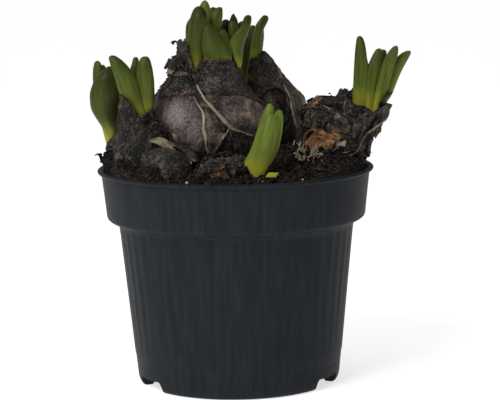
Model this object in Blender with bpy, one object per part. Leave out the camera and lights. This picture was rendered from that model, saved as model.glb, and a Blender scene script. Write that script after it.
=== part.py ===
"""A pot of sprouting hyacinths: a fluted plastic nursery pot, compost, five bulbs and their leaf tufts.

+Z is up and the front is -Y. The shapes are laid out round the pot's axis, and at the end everything
moves sideways so that the middle of the whole is on the origin. Blender's unit is the metre; places
and sizes below are written in millimetres times MM, or turned into metres by mm().
"""

import math
from dataclasses import dataclass, field

import bmesh
import bpy
from mathutils import Vector, noise

MM = 0.001
GAP = 0.4 * MM
BULB_GAP = 0.65 * MM
SHARP_ANGLE = math.radians(38)

# Pot, an injection-moulded 12 cm nursery pot
POT_HEIGHT = 95.0 * MM
POT_WALL = 1.3 * MM
POT_FLOOR = 4.4 * MM
POT_SIDES = 96
FLUTES = 48
FLUTE_DEPTH = 0.45 * MM
BASE_RADIUS = 42.6 * MM
FOOT_TOP_RADIUS = 44.5 * MM
FOOT_TOP = 8.6 * MM
BODY_LOW_RADIUS = 45.0 * MM
BODY_TOP_RADIUS = 51.3 * MM
BODY_TOP = 71.2 * MM
BAND_BOTTOM_RADIUS = 56.3 * MM
BAND_BOTTOM = 75.4 * MM
BAND_TOP_RADIUS = 57.9 * MM
BAND_TOP = 91.8 * MM
LIP_RADIUS = 60.0 * MM
LIP_INNER_RADIUS = 57.0 * MM

# The floor is raised inside the foot ring, and four slots through the ring drain it
FOOT_RING_INNER_RADIUS = 38.8 * MM
FLOOR_UNDERSIDE = 3.0 * MM
SLOT_ANGLES = (61.0, 119.0, 241.0, 299.0)
SLOT_HALF_ANGLE = 12.5
SLOT_HEIGHT = 5.2 * MM
SLOT_CORNER = 2.4 * MM
DRAIN_SIDES = 10
DRAIN_RADIUS = 3.5 * MM
DRAIN_CIRCLE_RADIUS = 22.0 * MM

# Compost: flush with the lip at the front, heaped in the middle, and pushed up at the two sides
SOIL_SIDES = 48
SOIL_RINGS = 8
SOIL_EDGE_HEIGHT = 93.9 * MM
SOIL_CROWN_HEIGHT = 100.2 * MM
SOIL_SIDE_HEAP = 4.2 * MM
SOIL_SIDE_ZONE = (0.72, 0.98)
SOIL_FRONT_ZONE = (-10.0 * MM, -40.0 * MM)
SOIL_FRONT_DIP = 0.95
SOIL_ROUGHNESS = 0.9 * MM
SOIL_GRAIN = 5.5 * MM

# Above this height a bulb may bulge over the lip, and below it the wall holds the bulb in
LIP_CLEAR_HEIGHT = 95.2 * MM
LIP_CLEAR_RADIUS = 56.0 * MM
LIP_CLEAR_SLOPE = 1.15

# The papery rim of a bulb leans in by this share of its height
RIM_START = 0.78
RIM_INWARD = 0.35

# Stems, the holes that they stand in, and leaves
STEM_SIDES = 14
HOLE_MOUTH = 14.0 * MM
BLADE_RINGS = 6
BLADE_END = 0.98
BLADE_THICKNESS = 1.5 * MM
BLADE_TIP_THICKNESS = 0.55
BLADE_INNER_WIDTH = 0.55

# The flower spike
BUD_SIDES = 16
BUD_RINGS = 9
BUD_FLORETS = 8
BUD_FLORET_HEIGHT = 0.28


def mm(*values: float) -> Vector:
    """A point or size given in millimetres, as a vector in metres."""
    return Vector(values) * MM


def smooth(low: float, high: float, value: float) -> float:
    """0 below low, 1 above high, and a smooth step between them."""
    share = min(1.0, max(0.0, (value - low) / (high - low)))
    return share * share * (3.0 - 2.0 * share)


def through(knots: list[tuple[float, float]], t: float) -> float:
    """The value at t of a smooth curve through knots, which are (t, value) in rising t."""
    last = len(knots) - 1
    i = max(0, min(last - 1, sum(t > k[0] for k in knots) - 1))
    (t0, a), (t1, b) = knots[i], knots[i + 1]
    before, after = knots[max(0, i - 1)], knots[min(last, i + 2)]
    slope_a = (b - before[1]) / (t1 - before[0])
    slope_b = (after[1] - a) / (after[0] - t0)
    width = t1 - t0
    s = (t - t0) / width
    return (
        (2 * s**3 - 3 * s**2 + 1) * a
        + (s**3 - 2 * s**2 + s) * width * slope_a
        + (3 * s**2 - 2 * s**3) * b
        + (s**3 - s**2) * width * slope_b
    )


def bezier(start: Vector, middle: Vector, end: Vector, t: float) -> Vector:
    """A point of the curve that leaves start, leans to middle and ends at end."""
    return start * (1 - t) ** 2 + middle * 2 * t * (1 - t) + end * t**2


def bezier_direction(start: Vector, middle: Vector, end: Vector, t: float) -> Vector:
    """The direction of that curve at t."""
    return ((middle - start) * (1 - t) + (end - middle) * t).normalized()


def material(name: str, colour: tuple[float, float, float], roughness: float) -> bpy.types.Material:
    """A plain material with a linear base colour."""
    made = bpy.data.materials.new(name)
    made.use_nodes = True
    shader = made.node_tree.nodes["Principled BSDF"]
    shader.inputs["Base Color"].default_value = (*colour, 1.0)
    shader.inputs["Roughness"].default_value = roughness
    shader.inputs["Metallic"].default_value = 0.0
    return made


def add_object(name: str, bm: bmesh.types.BMesh, finish: bpy.types.Material | None) -> bpy.types.Object:
    """Puts a mesh in the scene as one object with its faces pointing out."""
    bmesh.ops.recalc_face_normals(bm, faces=bm.faces)
    mesh = bpy.data.meshes.new(name)
    bm.to_mesh(mesh)
    bm.free()
    made = bpy.data.objects.new(name, mesh)
    bpy.context.scene.collection.objects.link(made)
    if finish:
        mesh.materials.append(finish)
        mesh.shade_smooth()
        mesh.set_sharp_from_angle(angle=SHARP_ANGLE)
    return made


def add_cutter(name: str, bm: bmesh.types.BMesh) -> bpy.types.Object:
    """A helper that only cuts: it isn't rendered and isn't part of the plant."""
    cutter = add_object(name, bm, None)
    cutter.hide_render = True
    cutter.display_type = "WIRE"
    return cutter


def combine(target: bpy.types.Object, other: bpy.types.Object, operation: str) -> None:
    """Cuts other from target, or joins it to target, with a live Boolean."""
    step = target.modifiers.new(other.name, "BOOLEAN")
    step.operation = operation
    step.object = other


def skin_rings(bm: bmesh.types.BMesh, rings: list[list[Vector]]) -> None:
    """A closed skin over rings of equally many points, with a fan at each end."""
    rows = [[bm.verts.new(p) for p in ring] for ring in rings]
    for low, high in zip(rows, rows[1:]):
        for i in range(len(low)):
            j = (i + 1) % len(low)
            bm.faces.new((low[i], low[j], high[j], high[i]))
    for row in (rows[0], rows[-1]):
        centre = bm.verts.new(sum((v.co for v in row), Vector()) / len(row))
        for i, vert in enumerate(row):
            bm.faces.new((vert, row[(i + 1) % len(row)], centre))


def circle_points(centre: Vector, direction: Vector, radius: float, sides: int) -> list[Vector]:
    """Points of a circle square to direction."""
    side = direction.cross(Vector((0, 1, 0))).normalized()
    other = direction.cross(side)
    angles = [2 * math.pi * i / sides for i in range(sides)]
    return [centre + radius * (side * math.cos(a) + other * math.sin(a)) for a in angles]


def plug(
    low: Vector, high: Vector, low_radius: float, high_radius: float, sides: int = STEM_SIDES
) -> bmesh.types.BMesh:
    """A tapered round plug between two points."""
    bm = bmesh.new()
    direction = (high - low).normalized()
    ends = ((low, low_radius), (high, high_radius))
    skin_rings(bm, [circle_points(centre, direction, radius, sides) for centre, radius in ends])
    return bm


def sector(
    inner: float, outer: float, middle: float, half: float, low: float, high: float
) -> bmesh.types.BMesh:
    """A block between two arcs. Angles are in degrees from the front, to the right."""
    steps = 6
    angles = [math.radians(middle - half + 2 * half * i / steps) for i in range(steps + 1)]
    outline = [(outer * math.sin(a), -outer * math.cos(a)) for a in angles]
    outline += [(inner * math.sin(a), -inner * math.cos(a)) for a in reversed(angles)]
    bm = bmesh.new()
    base = bm.faces.new([bm.verts.new((x, y, low)) for x, y in outline])
    grown = bmesh.ops.extrude_face_region(bm, geom=[base])
    risen = [g for g in grown["geom"] if isinstance(g, bmesh.types.BMVert)]
    bmesh.ops.translate(bm, verts=risen, vec=(0, 0, high - low))
    return bm


def pot_profile() -> list[tuple[float, float]]:
    """The pot's section as (radius, height), from the middle of the underside round to the floor."""
    return [
        (0.0, FLOOR_UNDERSIDE),
        (FOOT_RING_INNER_RADIUS - 0.8 * MM, FLOOR_UNDERSIDE),
        (FOOT_RING_INNER_RADIUS, 0.0),
        (BASE_RADIUS, 0.0),
        (BASE_RADIUS + 1.2 * MM, 1.0 * MM),
        (FOOT_TOP_RADIUS, FOOT_TOP),
        (BODY_LOW_RADIUS, FOOT_TOP + 0.5 * MM),
        (BODY_LOW_RADIUS + 0.3 * MM, FOOT_TOP + 4.0 * MM),
        (BODY_TOP_RADIUS - 0.1 * MM, BODY_TOP - 2.0 * MM),
        (BODY_TOP_RADIUS + 0.3 * MM, BODY_TOP),
        (BAND_BOTTOM_RADIUS - 1.2 * MM, BAND_BOTTOM - 1.9 * MM),
        (BAND_BOTTOM_RADIUS, BAND_BOTTOM),
        (BAND_TOP_RADIUS, BAND_TOP),
        (LIP_RADIUS - 0.3 * MM, BAND_TOP + 0.6 * MM),
        (LIP_RADIUS, POT_HEIGHT - 1.2 * MM),
        (LIP_RADIUS - 1.2 * MM, POT_HEIGHT),
        (LIP_INNER_RADIUS, POT_HEIGHT - 0.5 * MM),
        (BAND_TOP_RADIUS - POT_WALL, BAND_TOP),
        (BAND_BOTTOM_RADIUS - POT_WALL, BAND_BOTTOM + 0.6 * MM),
        (BODY_TOP_RADIUS - POT_WALL, BODY_TOP + 0.6 * MM),
        (BASE_RADIUS + 0.6 * MM, POT_FLOOR + 1.4 * MM),
        (BASE_RADIUS - 0.6 * MM, POT_FLOOR),
        (0.0, POT_FLOOR),
    ]


def press_flutes(bm: bmesh.types.BMesh) -> None:
    """Presses shallow upright flutes into the outer wall of the body, between its two edges."""
    for vert in bm.verts:
        radius = math.hypot(vert.co.x, vert.co.y)
        share = (vert.co.z - FOOT_TOP) / (BODY_TOP - FOOT_TOP)
        outer = BODY_LOW_RADIUS + (BODY_TOP_RADIUS - BODY_LOW_RADIUS) * share
        if FOOT_TOP + MM < vert.co.z < BODY_TOP - MM and radius > outer - POT_WALL / 2:
            angle = math.atan2(vert.co.x, -vert.co.y)
            depth = FLUTE_DEPTH * 0.5 * (1 - math.cos(FLUTES * angle))
            vert.co.x -= depth * math.sin(angle)
            vert.co.y += depth * math.cos(angle)


def build_pot(finish: bpy.types.Material) -> None:
    """The pot as a turned wall with flutes, slots through the foot ring and holes in the floor."""
    bm = bmesh.new()
    points = [bm.verts.new((0, -radius, height)) for radius, height in pot_profile()]
    edges = [bm.edges.new(pair) for pair in zip(points, points[1:])]
    bmesh.ops.spin(
        bm,
        geom=points + edges,
        cent=(0, 0, 0),
        axis=(0, 0, 1),
        angle=2 * math.pi,
        steps=POT_SIDES,
        use_merge=True,
    )
    bmesh.ops.remove_doubles(bm, verts=bm.verts, dist=0.01 * MM)
    press_flutes(bm)
    pot = add_object("pot", bm, finish)
    for number, angle in enumerate(SLOT_ANGLES):
        slot = sector(FOOT_RING_INNER_RADIUS, LIP_RADIUS, angle, SLOT_HALF_ANGLE, -SLOT_HEIGHT, SLOT_HEIGHT)
        corners = [
            e
            for e in slot.edges
            if min(v.co.z for v in e.verts) > SLOT_HEIGHT / 2
            and abs(e.calc_length() - (LIP_RADIUS - FOOT_RING_INNER_RADIUS)) < 0.5 * MM
        ]
        bmesh.ops.bevel(slot, geom=corners, offset=SLOT_CORNER, segments=3, affect="EDGES", profile=0.5)
        combine(pot, add_cutter(f"foot_slot_{number}", slot), "DIFFERENCE")
    drains = [Vector((0, 0, 0))]
    for angle in SLOT_ANGLES:
        turn = math.radians(angle)
        drains.append(DRAIN_CIRCLE_RADIUS * Vector((math.sin(turn), -math.cos(turn), 0)))
    for number, place in enumerate(drains):
        hole = plug(place, place + 2 * Vector((0, 0, POT_FLOOR)), DRAIN_RADIUS, DRAIN_RADIUS, DRAIN_SIDES)
        combine(pot, add_cutter(f"floor_drain_{number}", hole), "DIFFERENCE")


def soil_height(x: float, y: float) -> float:
    """The height of the compost above the pot's underside at a place."""
    radius = math.hypot(x, y)
    inward = smooth(LIP_INNER_RADIUS, 0.63 * LIP_INNER_RADIUS, radius)
    calm = smooth(LIP_INNER_RADIUS, 0.94 * LIP_INNER_RADIUS, radius)
    front = smooth(*SOIL_FRONT_ZONE, y)
    middle_heap = (SOIL_CROWN_HEIGHT - SOIL_EDGE_HEIGHT) * inward * (1 - SOIL_FRONT_DIP * front)
    sideways = smooth(*SOIL_SIDE_ZONE, abs(x) / max(radius, MM))
    side_heap = SOIL_SIDE_HEAP * sideways * calm * (1 - 0.6 * inward)
    grain = SOIL_ROUGHNESS * calm * noise.fractal(Vector((x, y, 0)) / SOIL_GRAIN, 1.0, 2.0, 2)
    return SOIL_EDGE_HEIGHT + middle_heap + side_heap + grain


def soil_side() -> list[tuple[float, float]]:
    """The compost's side as (radius, height), just clear of the pot's inner wall."""
    return [
        (BASE_RADIUS - 0.8 * MM - GAP, POT_FLOOR + GAP),
        (BASE_RADIUS + 0.4 * MM - GAP, POT_FLOOR + 1.4 * MM + GAP),
        (BODY_TOP_RADIUS - POT_WALL - GAP, BODY_TOP + 0.6 * MM + GAP),
        (BAND_BOTTOM_RADIUS - POT_WALL - GAP, BAND_BOTTOM + 0.6 * MM + GAP),
        (BAND_TOP_RADIUS - POT_WALL - GAP, BAND_TOP),
    ]


def build_soil(finish: bpy.types.Material) -> bpy.types.Object:
    """The compost as one solid that fills the pot."""
    bm = bmesh.new()
    angles = [2 * math.pi * i / SOIL_SIDES for i in range(SOIL_SIDES)]
    rings = [
        [Vector((r * math.cos(a), r * math.sin(a), z)) for a in angles] for r, z in soil_side()
    ]
    edge = soil_side()[-1][0]
    for i in range(SOIL_RINGS):
        radius = edge * (1 - (i / SOIL_RINGS) ** 0.9)
        flat = [(radius * math.cos(a), radius * math.sin(a)) for a in angles]
        rings.append([Vector((x, y, soil_height(x, y))) for x, y in flat])
    skin_rings(bm, rings)
    return add_object("soil", bm, finish)


@dataclass
class Lobe:
    """One swollen body of a bulb, turned about a line that leans from its root plate to its neck.

    Points are in millimetres. profile is (share of the way up, radius in millimetres), and rim is
    (angle round the neck, how far the papery edge stands up there). The angle is 0 on the right and
    270 at the front.
    """

    root: tuple[float, float, float]
    neck: tuple[float, float, float]
    profile: list[tuple[float, float]]
    lean: tuple[float, float, float] = (0.0, 0.0, 0.0)
    rim: list[tuple[float, float]] = field(default_factory=lambda: [(0.0, 0.0), (360.0, 0.0)])
    sides: int = 20
    rings: int = 10
    wrinkle: float = 0.45
    wrinkle_size: float = 7.0

    def point(self, t: float, angle: float, grow: float) -> Vector:
        """The skin at t of the way up and at angle round, grow metres proud of the real skin."""
        start, end = mm(*self.root), mm(*self.neck)
        middle = (start + end) / 2 + mm(*self.lean)
        centre = bezier(start, middle, end, t)
        direction = bezier_direction(start, middle, end, t)
        side = direction.cross(Vector((0, 1, 0))).normalized()
        other = direction.cross(side)
        outward = -side * math.cos(angle) - other * math.sin(angle)
        lift = through(self.rim, math.degrees(angle)) * smooth(RIM_START, 1.0, t)
        radius = through(self.profile, t) - RIM_INWARD * max(0.0, lift)
        spot = centre + outward * radius * MM
        bump = noise.fractal(spot / (self.wrinkle_size * MM), 1.0, 2.0, 2) * self.wrinkle * MM
        return spot + outward * (bump + grow) + direction * lift * MM


def tucked(point: Vector, grow: float) -> Vector:
    """The point pressed in, where the pot's wall and lip would hold a bulb."""
    radius = math.hypot(point.x, point.y)
    room = LIP_CLEAR_RADIUS + 2 * grow + max(0.0, point.z - LIP_CLEAR_HEIGHT) * LIP_CLEAR_SLOPE
    if radius <= room:
        return point
    return Vector((point.x * room / radius, point.y * room / radius, point.z))


def lobe_mesh(lobe: Lobe, grow: float) -> bmesh.types.BMesh:
    """The closed skin of a lobe."""
    bm = bmesh.new()
    axis = (mm(*lobe.neck) - mm(*lobe.root)).normalized()
    angles = [2 * math.pi * j / lobe.sides for j in range(lobe.sides)]
    shares = [i / lobe.rings for i in range(lobe.rings + 1)]
    rings = [[tucked(lobe.point(t, a, grow), grow) for a in angles] for t in shares]
    rings[0] = [p - axis * grow for p in rings[0]]
    rings[-1] = [p + axis * grow for p in rings[-1]]
    skin_rings(bm, rings)
    return bm


@dataclass
class Bulb:
    """A bulb: one lobe or more, grown together. behind names the bulbs that press into it."""

    name: str
    lobes: list[Lobe]
    behind: list[str] = field(default_factory=list)

    def join(self, grow: float, label: str) -> bpy.types.Object:
        """The lobes joined in one object, grow metres proud of the real skin."""
        body = add_object(f"{self.name}{label}", lobe_mesh(self.lobes[0], grow), None)
        for number, lobe in enumerate(self.lobes[1:]):
            combine(body, add_cutter(f"{body.name}_lobe_{number}", lobe_mesh(lobe, grow)), "UNION")
        return body


BULBS = [
    Bulb(
        "bulb_centre",
        [
            Lobe(
                root=(-12.5, 9.0, 84.0),
                neck=(-12.3, 6.8, 140.5),
                profile=[
                    (0.0, 9.0), (0.1, 16.0), (0.22, 20.5), (0.36, 23.2), (0.5, 23.7), (0.63, 23.0),
                    (0.73, 21.2), (0.82, 18.2), (0.9, 16.2), (1.0, 15.2),
                ],
                rim=[
                    (0, -1.2), (45, 0), (90, 0.5), (135, 3.5), (165, 6.5), (190, 7.5), (210, 4.5),
                    (228, 1), (244, -3.6), (260, 0), (290, 0), (325, -1.5), (360, -1.2),
                ],
                sides=28,
                rings=13,
            )
        ],
    ),
    Bulb(
        "bulb_back",
        [
            Lobe(
                root=(13.0, 38.0, 86.0),
                neck=(8.8, 32.0, 139.5),
                profile=[
                    (0.0, 8.0), (0.12, 14.5), (0.27, 19.0), (0.42, 20.6), (0.58, 20.4),
                    (0.7, 17.8), (0.8, 14.2), (0.9, 10.2), (1.0, 5.8),
                ],
                rim=[(0, 1.5), (60, 1.0), (180, -0.5), (270, 0), (360, 1.5)],
                sides=24,
            )
        ],
        behind=["bulb_centre"],
    ),
    Bulb(
        "bulb_left",
        [
            Lobe(
                root=(-33.0, -7.0, 76.0),
                neck=(-43.0, -7.8, 121.0),
                profile=[
                    (0.0, 7.0), (0.14, 12.5), (0.3, 16.4), (0.44, 16.6), (0.58, 14.6),
                    (0.7, 11.8), (0.84, 8.8), (1.0, 7.0),
                ],
                rim=[
                    (0, -4.2), (50, -3), (90, -1), (150, 4), (180, 6.6), (225, 4.6), (262, 0),
                    (300, -4.8), (332, -4.6), (360, -4.2),
                ],
                sides=24,
            ),
            Lobe(
                root=(-43.0, -1.0, 90.0),
                neck=(-52.2, -0.4, 105.4),
                profile=[(0.0, 4.0), (0.3, 5.8), (0.7, 4.8), (1.0, 3.6)],
                rim=[(0, 2.2), (180, -0.6), (360, 2.2)],
                sides=14,
                rings=6,
                wrinkle=0.3,
            ),
        ],
        behind=["bulb_centre"],
    ),
    Bulb(
        "bulb_right",
        [
            Lobe(
                root=(39.0, 3.0, 86.0),
                neck=(57.6, 2.4, 119.5),
                profile=[
                    (0.0, 9.0), (0.2, 13.4), (0.4, 13.6), (0.6, 12.0), (0.8, 10.2), (1.0, 11.0),
                ],
                rim=[
                    (0, 6.0), (40, 4), (90, 1), (150, 0.8), (200, 0.6), (230, -0.4), (270, -1.2),
                    (312, -3), (340, 2.5), (360, 6.0),
                ],
                sides=24,
                wrinkle=1.5,
                wrinkle_size=6.0,
            ),
            Lobe(
                root=(37.5, 4.0, 88.0),
                neck=(41.0, 4.0, 122.0),
                profile=[(0.0, 6.0), (0.3, 10.5), (0.6, 11.4), (0.85, 9.2), (1.0, 6.0)],
                sides=18,
                rings=8,
                wrinkle=1.3,
                wrinkle_size=5.0,
            ),
        ],
    ),
    Bulb(
        "bulb_front",
        [
            Lobe(
                root=(-18.0, -30.0, 90.0),
                neck=(10.5, -35.4, 93.6),
                profile=[(0.0, 3.5), (0.2, 8.4), (0.42, 10.4), (0.65, 9.2), (0.85, 7.2), (1.0, 6.2)],
                lean=(0.0, 0.0, 1.5),
                rings=9,
            )
        ],
    ),
]


@dataclass
class Blade:
    """One thick channelled leaf. Points, width, bow and hood are in millimetres.

    facing is the way its rounded back looks, bow pulls the middle of its length sideways, and hood
    turns the tip in over the shoot. foot is the width at the base as a share of the whole width,
    widest is the share of the length where the leaf is widest, and a high blunt is a round tip.
    """

    base: tuple[float, float, float]
    tip: tuple[float, float, float]
    width: float
    facing: tuple[float, float, float]
    bow: tuple[float, float, float] = (0.0, 0.0, 0.0)
    hood: float = 1.0
    foot: float = 0.8
    widest: float = 0.45
    blunt: float = 2.6
    channel: float = 0.24

    def half_width(self, t: float) -> float:
        """Half the width at t of the way to the tip, in metres."""
        rise = self.foot + (1 - self.foot) * math.sin(math.pi / 2 * min(1.0, t / self.widest))
        past = max(0.0, (t - self.widest) / (1 - self.widest))
        return self.width / 2 * MM * rise * max(0.0, 1 - past**self.blunt) ** (1.3 / self.blunt)

    def ring(self, t: float) -> list[Vector]:
        """The closed section of the leaf at t: five points over its back and two inside it."""
        start, end = mm(*self.base), mm(*self.tip)
        middle = (start + end) / 2 + mm(*self.bow)
        along = bezier_direction(start, middle, end, t)
        back = Vector(self.facing)
        back = (back - along * back.dot(along)).normalized()
        side = along.cross(back)
        half = self.half_width(t)
        depth = 2 * self.channel * half
        centre = bezier(start, middle, end, t) - back * self.hood * MM * smooth(0.75, 1.0, t)
        thick = BLADE_THICKNESS * (1 - (1 - BLADE_TIP_THICKNESS) * smooth(0.6, 1.0, t))
        outer = [centre + side * half * u + back * depth * (1 - u * u) for u in (-1, -0.5, 0, 0.5, 1)]
        inner = [
            centre + side * half * u + back * (depth * (1 - u * u) - thick)
            for u in (BLADE_INNER_WIDTH, -BLADE_INNER_WIDTH)
        ]
        return outer + inner

    def mesh(self) -> bmesh.types.BMesh:
        """The leaf as a closed solid."""
        bm = bmesh.new()
        shares = [BLADE_END * (i / BLADE_RINGS) ** 0.85 for i in range(BLADE_RINGS + 1)]
        skin_rings(bm, [self.ring(t) for t in shares])
        return bm


@dataclass
class Shoot:
    """A tuft of leaves on a short stem that stands in a hole in its bulb.

    hosts are the bulbs that the hole goes through. The hole is flare millimetres wider at its mouth.
    """

    name: str
    hosts: list[str]
    low: tuple[float, float, float]
    high: tuple[float, float, float]
    low_radius: float
    high_radius: float
    blades: list[Blade]
    flare: float = 1.0

    def stem(self, grow: float) -> bmesh.types.BMesh:
        """The stem, or with grow the hole that it stands in, which opens out above it."""
        low, high = mm(*self.low), mm(*self.high)
        axis = (high - low).normalized()
        if not grow:
            return plug(low, high, self.low_radius * MM, self.high_radius * MM)
        bm = bmesh.new()
        rings = [
            (low - axis * grow, self.low_radius * MM + grow),
            (high, self.high_radius * MM + grow),
            (high + axis * HOLE_MOUTH, (self.high_radius + self.flare) * MM + grow),
        ]
        skin_rings(bm, [circle_points(at, axis, radius, STEM_SIDES) for at, radius in rings])
        return bm


SHOOTS = [
    Shoot(
        "leaves_centre",
        ["bulb_centre"],
        low=(-10.4, 6.5, 131.5),
        high=(-10.4, 6.5, 138.5),
        low_radius=10.6,
        high_radius=11.7,
        blades=[
            Blade(
                (-16.4, -1.4, 136.4), (-14.9, -1.6, 164.8), 6.8, (-0.4, -0.9, 0), (-2.0, -1.6, 0),
                foot=0.4,
            ),
            Blade((-19.2, 2.6, 138), (-20.7, 1.0, 150.6), 4.6, (-0.95, -0.3, 0), (-0.6, 0, 0)),
            Blade((-11.4, 5.2, 138), (-11.9, 4.2, 166.6), 5.4, (-0.5, -0.8, 0), (0.6, 0, 0)),
            Blade(
                (-7.4, -0.2, 137.5), (-11.6, -2.6, 157.8), 13.4, (0.05, -1, 0), (-0.2, -1.6, 0),
                foot=1.0, widest=0.01, blunt=1.6,
            ),
            Blade((-9.0, 2.8, 138), (-5.8, 4.4, 163.8), 6.4, (0.1, -1, 0), (-0.6, 0, 0)),
            Blade((-9.4, 13.4, 138), (-8.4, 13.2, 163.0), 4.8, (-0.2, 1, 0)),
            Blade((-3.6, 0.2, 138), (-4.3, -0.4, 154.6), 4.6, (0.1, -1, 0)),
            Blade((-3.2, 12.6, 138), (-2.9, 11.4, 158.0), 3.6, (0.1, 1, 0)),
            Blade((-1.6, 9.6, 138), (0.4, 9.4, 160.4), 4.4, (0.85, 0.4, 0), blunt=1.8),
            Blade((-2.6, 4.0, 138), (0.0, 3.6, 157.4), 4.8, (0.5, -0.8, 0)),
            Blade((-3.4, 1.2, 137.5), (6.5, -1.0, 156.6), 6.2, (0.5, -0.85, 0), (0.8, -2.2, 0)),
            Blade((-3.4, 10.6, 138), (7.1, 13.2, 159.4), 3.8, (0.9, 0.4, 0), (-1.6, 0, 0)),
            Blade((-16.0, 10.6, 138), (-18.0, 14.2, 158.0), 6.6, (-0.6, 0.8, 0), (-0.8, 0.2, 0)),
            Blade((-10.0, 14.2, 138), (-9.6, 18.4, 154.5), 7.2, (0, 1, 0), (0, 0.6, 0)),
            Blade((-4.6, 12.6, 137), (0.8, 16.4, 152.0), 5.2, (0.6, 0.8, 0), (-1.0, 0.2, 0)),
        ],
        flare=2.4,
    ),
    Shoot(
        "leaves_back",
        ["bulb_back"],
        low=(9.2, 32.8, 129.0),
        high=(8.9, 32.1, 136.5),
        low_radius=3.4,
        high_radius=4.2,
        blades=[
            Blade((9.8, 30.8, 134), (14.9, 31.2, 157.6), 4.6, (0.4, -0.9, 0), (-2.6, -0.4, 0)),
            Blade((7.6, 32.6, 134), (3.8, 35.8, 152.0), 4.2, (-0.6, 0.75, 0), (0, 0, 0)),
            Blade((9.6, 33.4, 134), (12.2, 37.0, 153.0), 4.2, (0.55, 0.8, 0), (-0.2, -0.2, 0)),
        ],
        flare=2.4,
    ),
    Shoot(
        "leaf_side",
        ["bulb_centre", "bulb_back"],
        low=(5.2, 20.6, 114.0),
        high=(5.0, 19.8, 121.0),
        low_radius=1.2,
        high_radius=1.5,
        blades=[
            Blade(
                (4.9, 19.8, 119.5), (8.9, 22.6, 154.2), 4.2, (0.35, 0.95, 0), (-2.2, -0.8, 0),
                foot=0.5, widest=0.7, channel=0.34,
            ),
        ],
        flare=1.8,
    ),
    Shoot(
        "leaves_left_outer",
        ["bulb_left"],
        low=(-49.8, -0.4, 97.5),
        high=(-52.3, -0.4, 103.5),
        low_radius=2.0,
        high_radius=2.5,
        blades=[
            Blade(
                (-53.0, -0.8, 102.6), (-52.8, -2.4, 139.8), 12.6, (-0.3, -0.95, 0), (-5.0, -1.6, 0),
                foot=0.2, widest=0.6,
            ),
            Blade(
                (-53.2, 0.8, 102.6), (-59.6, 5.0, 141.2), 4.0, (-0.8, 0.55, 0), (-2.6, 0.6, 0),
                foot=0.5,
            ),
            Blade(
                (-52.2, 0.8, 102.6), (-56.9, 6.6, 139.4), 3.6, (0, 1, 0), (-0.6, 0.6, 0),
                foot=0.5,
            ),
        ],
        flare=2.0,
    ),
    Shoot(
        "leaves_left_inner",
        ["bulb_left"],
        low=(-38.8, -7.2, 105.0),
        high=(-41.2, -8.2, 114.0),
        low_radius=3.4,
        high_radius=4.2,
        blades=[
            Blade(
                (-41.0, -9.4, 112.5), (-52.4, -11.8, 144.8), 8.8, (-0.3, -0.95, 0), (3.0, -1.8, 0),
                foot=0.4, widest=0.6,
            ),
            Blade((-42.0, -6.8, 112.5), (-42.2, -4.4, 143.4), 3.4, (-0.1, 1, 0)),
            Blade(
                (-40.0, -8.6, 112.5), (-37.7, -8.4, 143.8), 7.6, (0.2, -0.97, 0), (1.2, -1.0, 0),
                foot=0.3, widest=0.6,
            ),
            Blade(
                (-40.4, -7.2, 112.5), (-36.4, -2.6, 138.0), 5.0, (0.4, 0.9, 0), (-0.4, -0.2, 0),
                foot=0.5,
            ),
        ],
        flare=4.0,
    ),
    Shoot(
        "leaves_right",
        ["bulb_right"],
        low=(53.0, 2.2, 107.5),
        high=(57.4, 1.8, 116.5),
        low_radius=5.4,
        high_radius=6.8,
        blades=[
            Blade((55.0, 0.4, 114.5), (54.7, 0.8, 150.2), 5.8, (-0.3, -0.95, 0), (-1.2, -0.8, 0)),
            Blade((57.2, -0.2, 114.5), (63.3, 1.8, 144.4), 5.6, (-0.15, -1, 0), (-0.6, -1.2, 0)),
            Blade((59.8, 4.6, 114.5), (65.5, 8.0, 143.8), 4.2, (0.1, 1, 0)),
            Blade((59.6, -0.6, 114.5), (69.7, -0.8, 145.8), 7.0, (0.15, -1, 0), (-0.6, -1.4, 0)),
            Blade((60.8, 2.2, 114.5), (76.4, 3.8, 142.8), 7.2, (0.6, -0.8, 0), (-2.6, -0.4, 0)),
            Blade((57.0, 5.2, 114.5), (56.4, 10.4, 141.0), 6.0, (-0.3, 0.95, 0), (-0.4, 0.8, 0)),
        ],
        flare=3.4,
    ),
    Shoot(
        "leaves_front",
        ["bulb_front"],
        low=(6.0, -34.6, 88.0),
        high=(7.4, -35.6, 93.5),
        low_radius=3.6,
        high_radius=4.4,
        blades=[
            Blade(
                (8.2, -36.2, 92.5), (19.6, -35.4, 123.2), 8.4, (0.25, -0.95, 0), (1.0, -0.8, 0),
                foot=0.7,
            ),
            Blade((6.4, -35.0, 92.5), (14.8, -33.4, 125.6), 6.6, (-0.25, -0.95, 0), (0.2, -0.8, 0)),
            Blade((7.4, -36.6, 92.5), (15.2, -37.4, 121.4), 6.4, (0, -1, 0), (0.2, -1.0, 0)),
            Blade((8.6, -37.6, 96.4), (18.2, -41.2, 97.4), 3.0, (0, 0, 1), hood=0.3),
        ],
        flare=4.0,
    ),
]


def flower_bud_mesh() -> bmesh.types.BMesh:
    """The tight flower spike deep in the middle shoot, with its packed florets as bumps."""
    foot, top = mm(-6.6, 8.4, 139.4), mm(-6.8, 8.2, 156.4)
    profile = [(0.0, 1.6), (0.25, 2.4), (0.6, 2.5), (0.85, 1.8), (1.0, 0.5)]
    rows = []
    for i in range(BUD_RINGS + 1):
        t = i / BUD_RINGS
        row = []
        for j in range(BUD_SIDES):
            angle = 2 * math.pi * j / BUD_SIDES
            floret = math.cos(BUD_FLORETS * angle + math.pi * i) * BUD_FLORET_HEIGHT
            radius = (through(profile, t) + floret * math.sin(math.pi * t)) * MM
            row.append(foot.lerp(top, t) + Vector((radius * math.cos(angle), radius * math.sin(angle), 0)))
        rows.append(row)
    bm = bmesh.new()
    skin_rings(bm, rows)
    return bm


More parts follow.
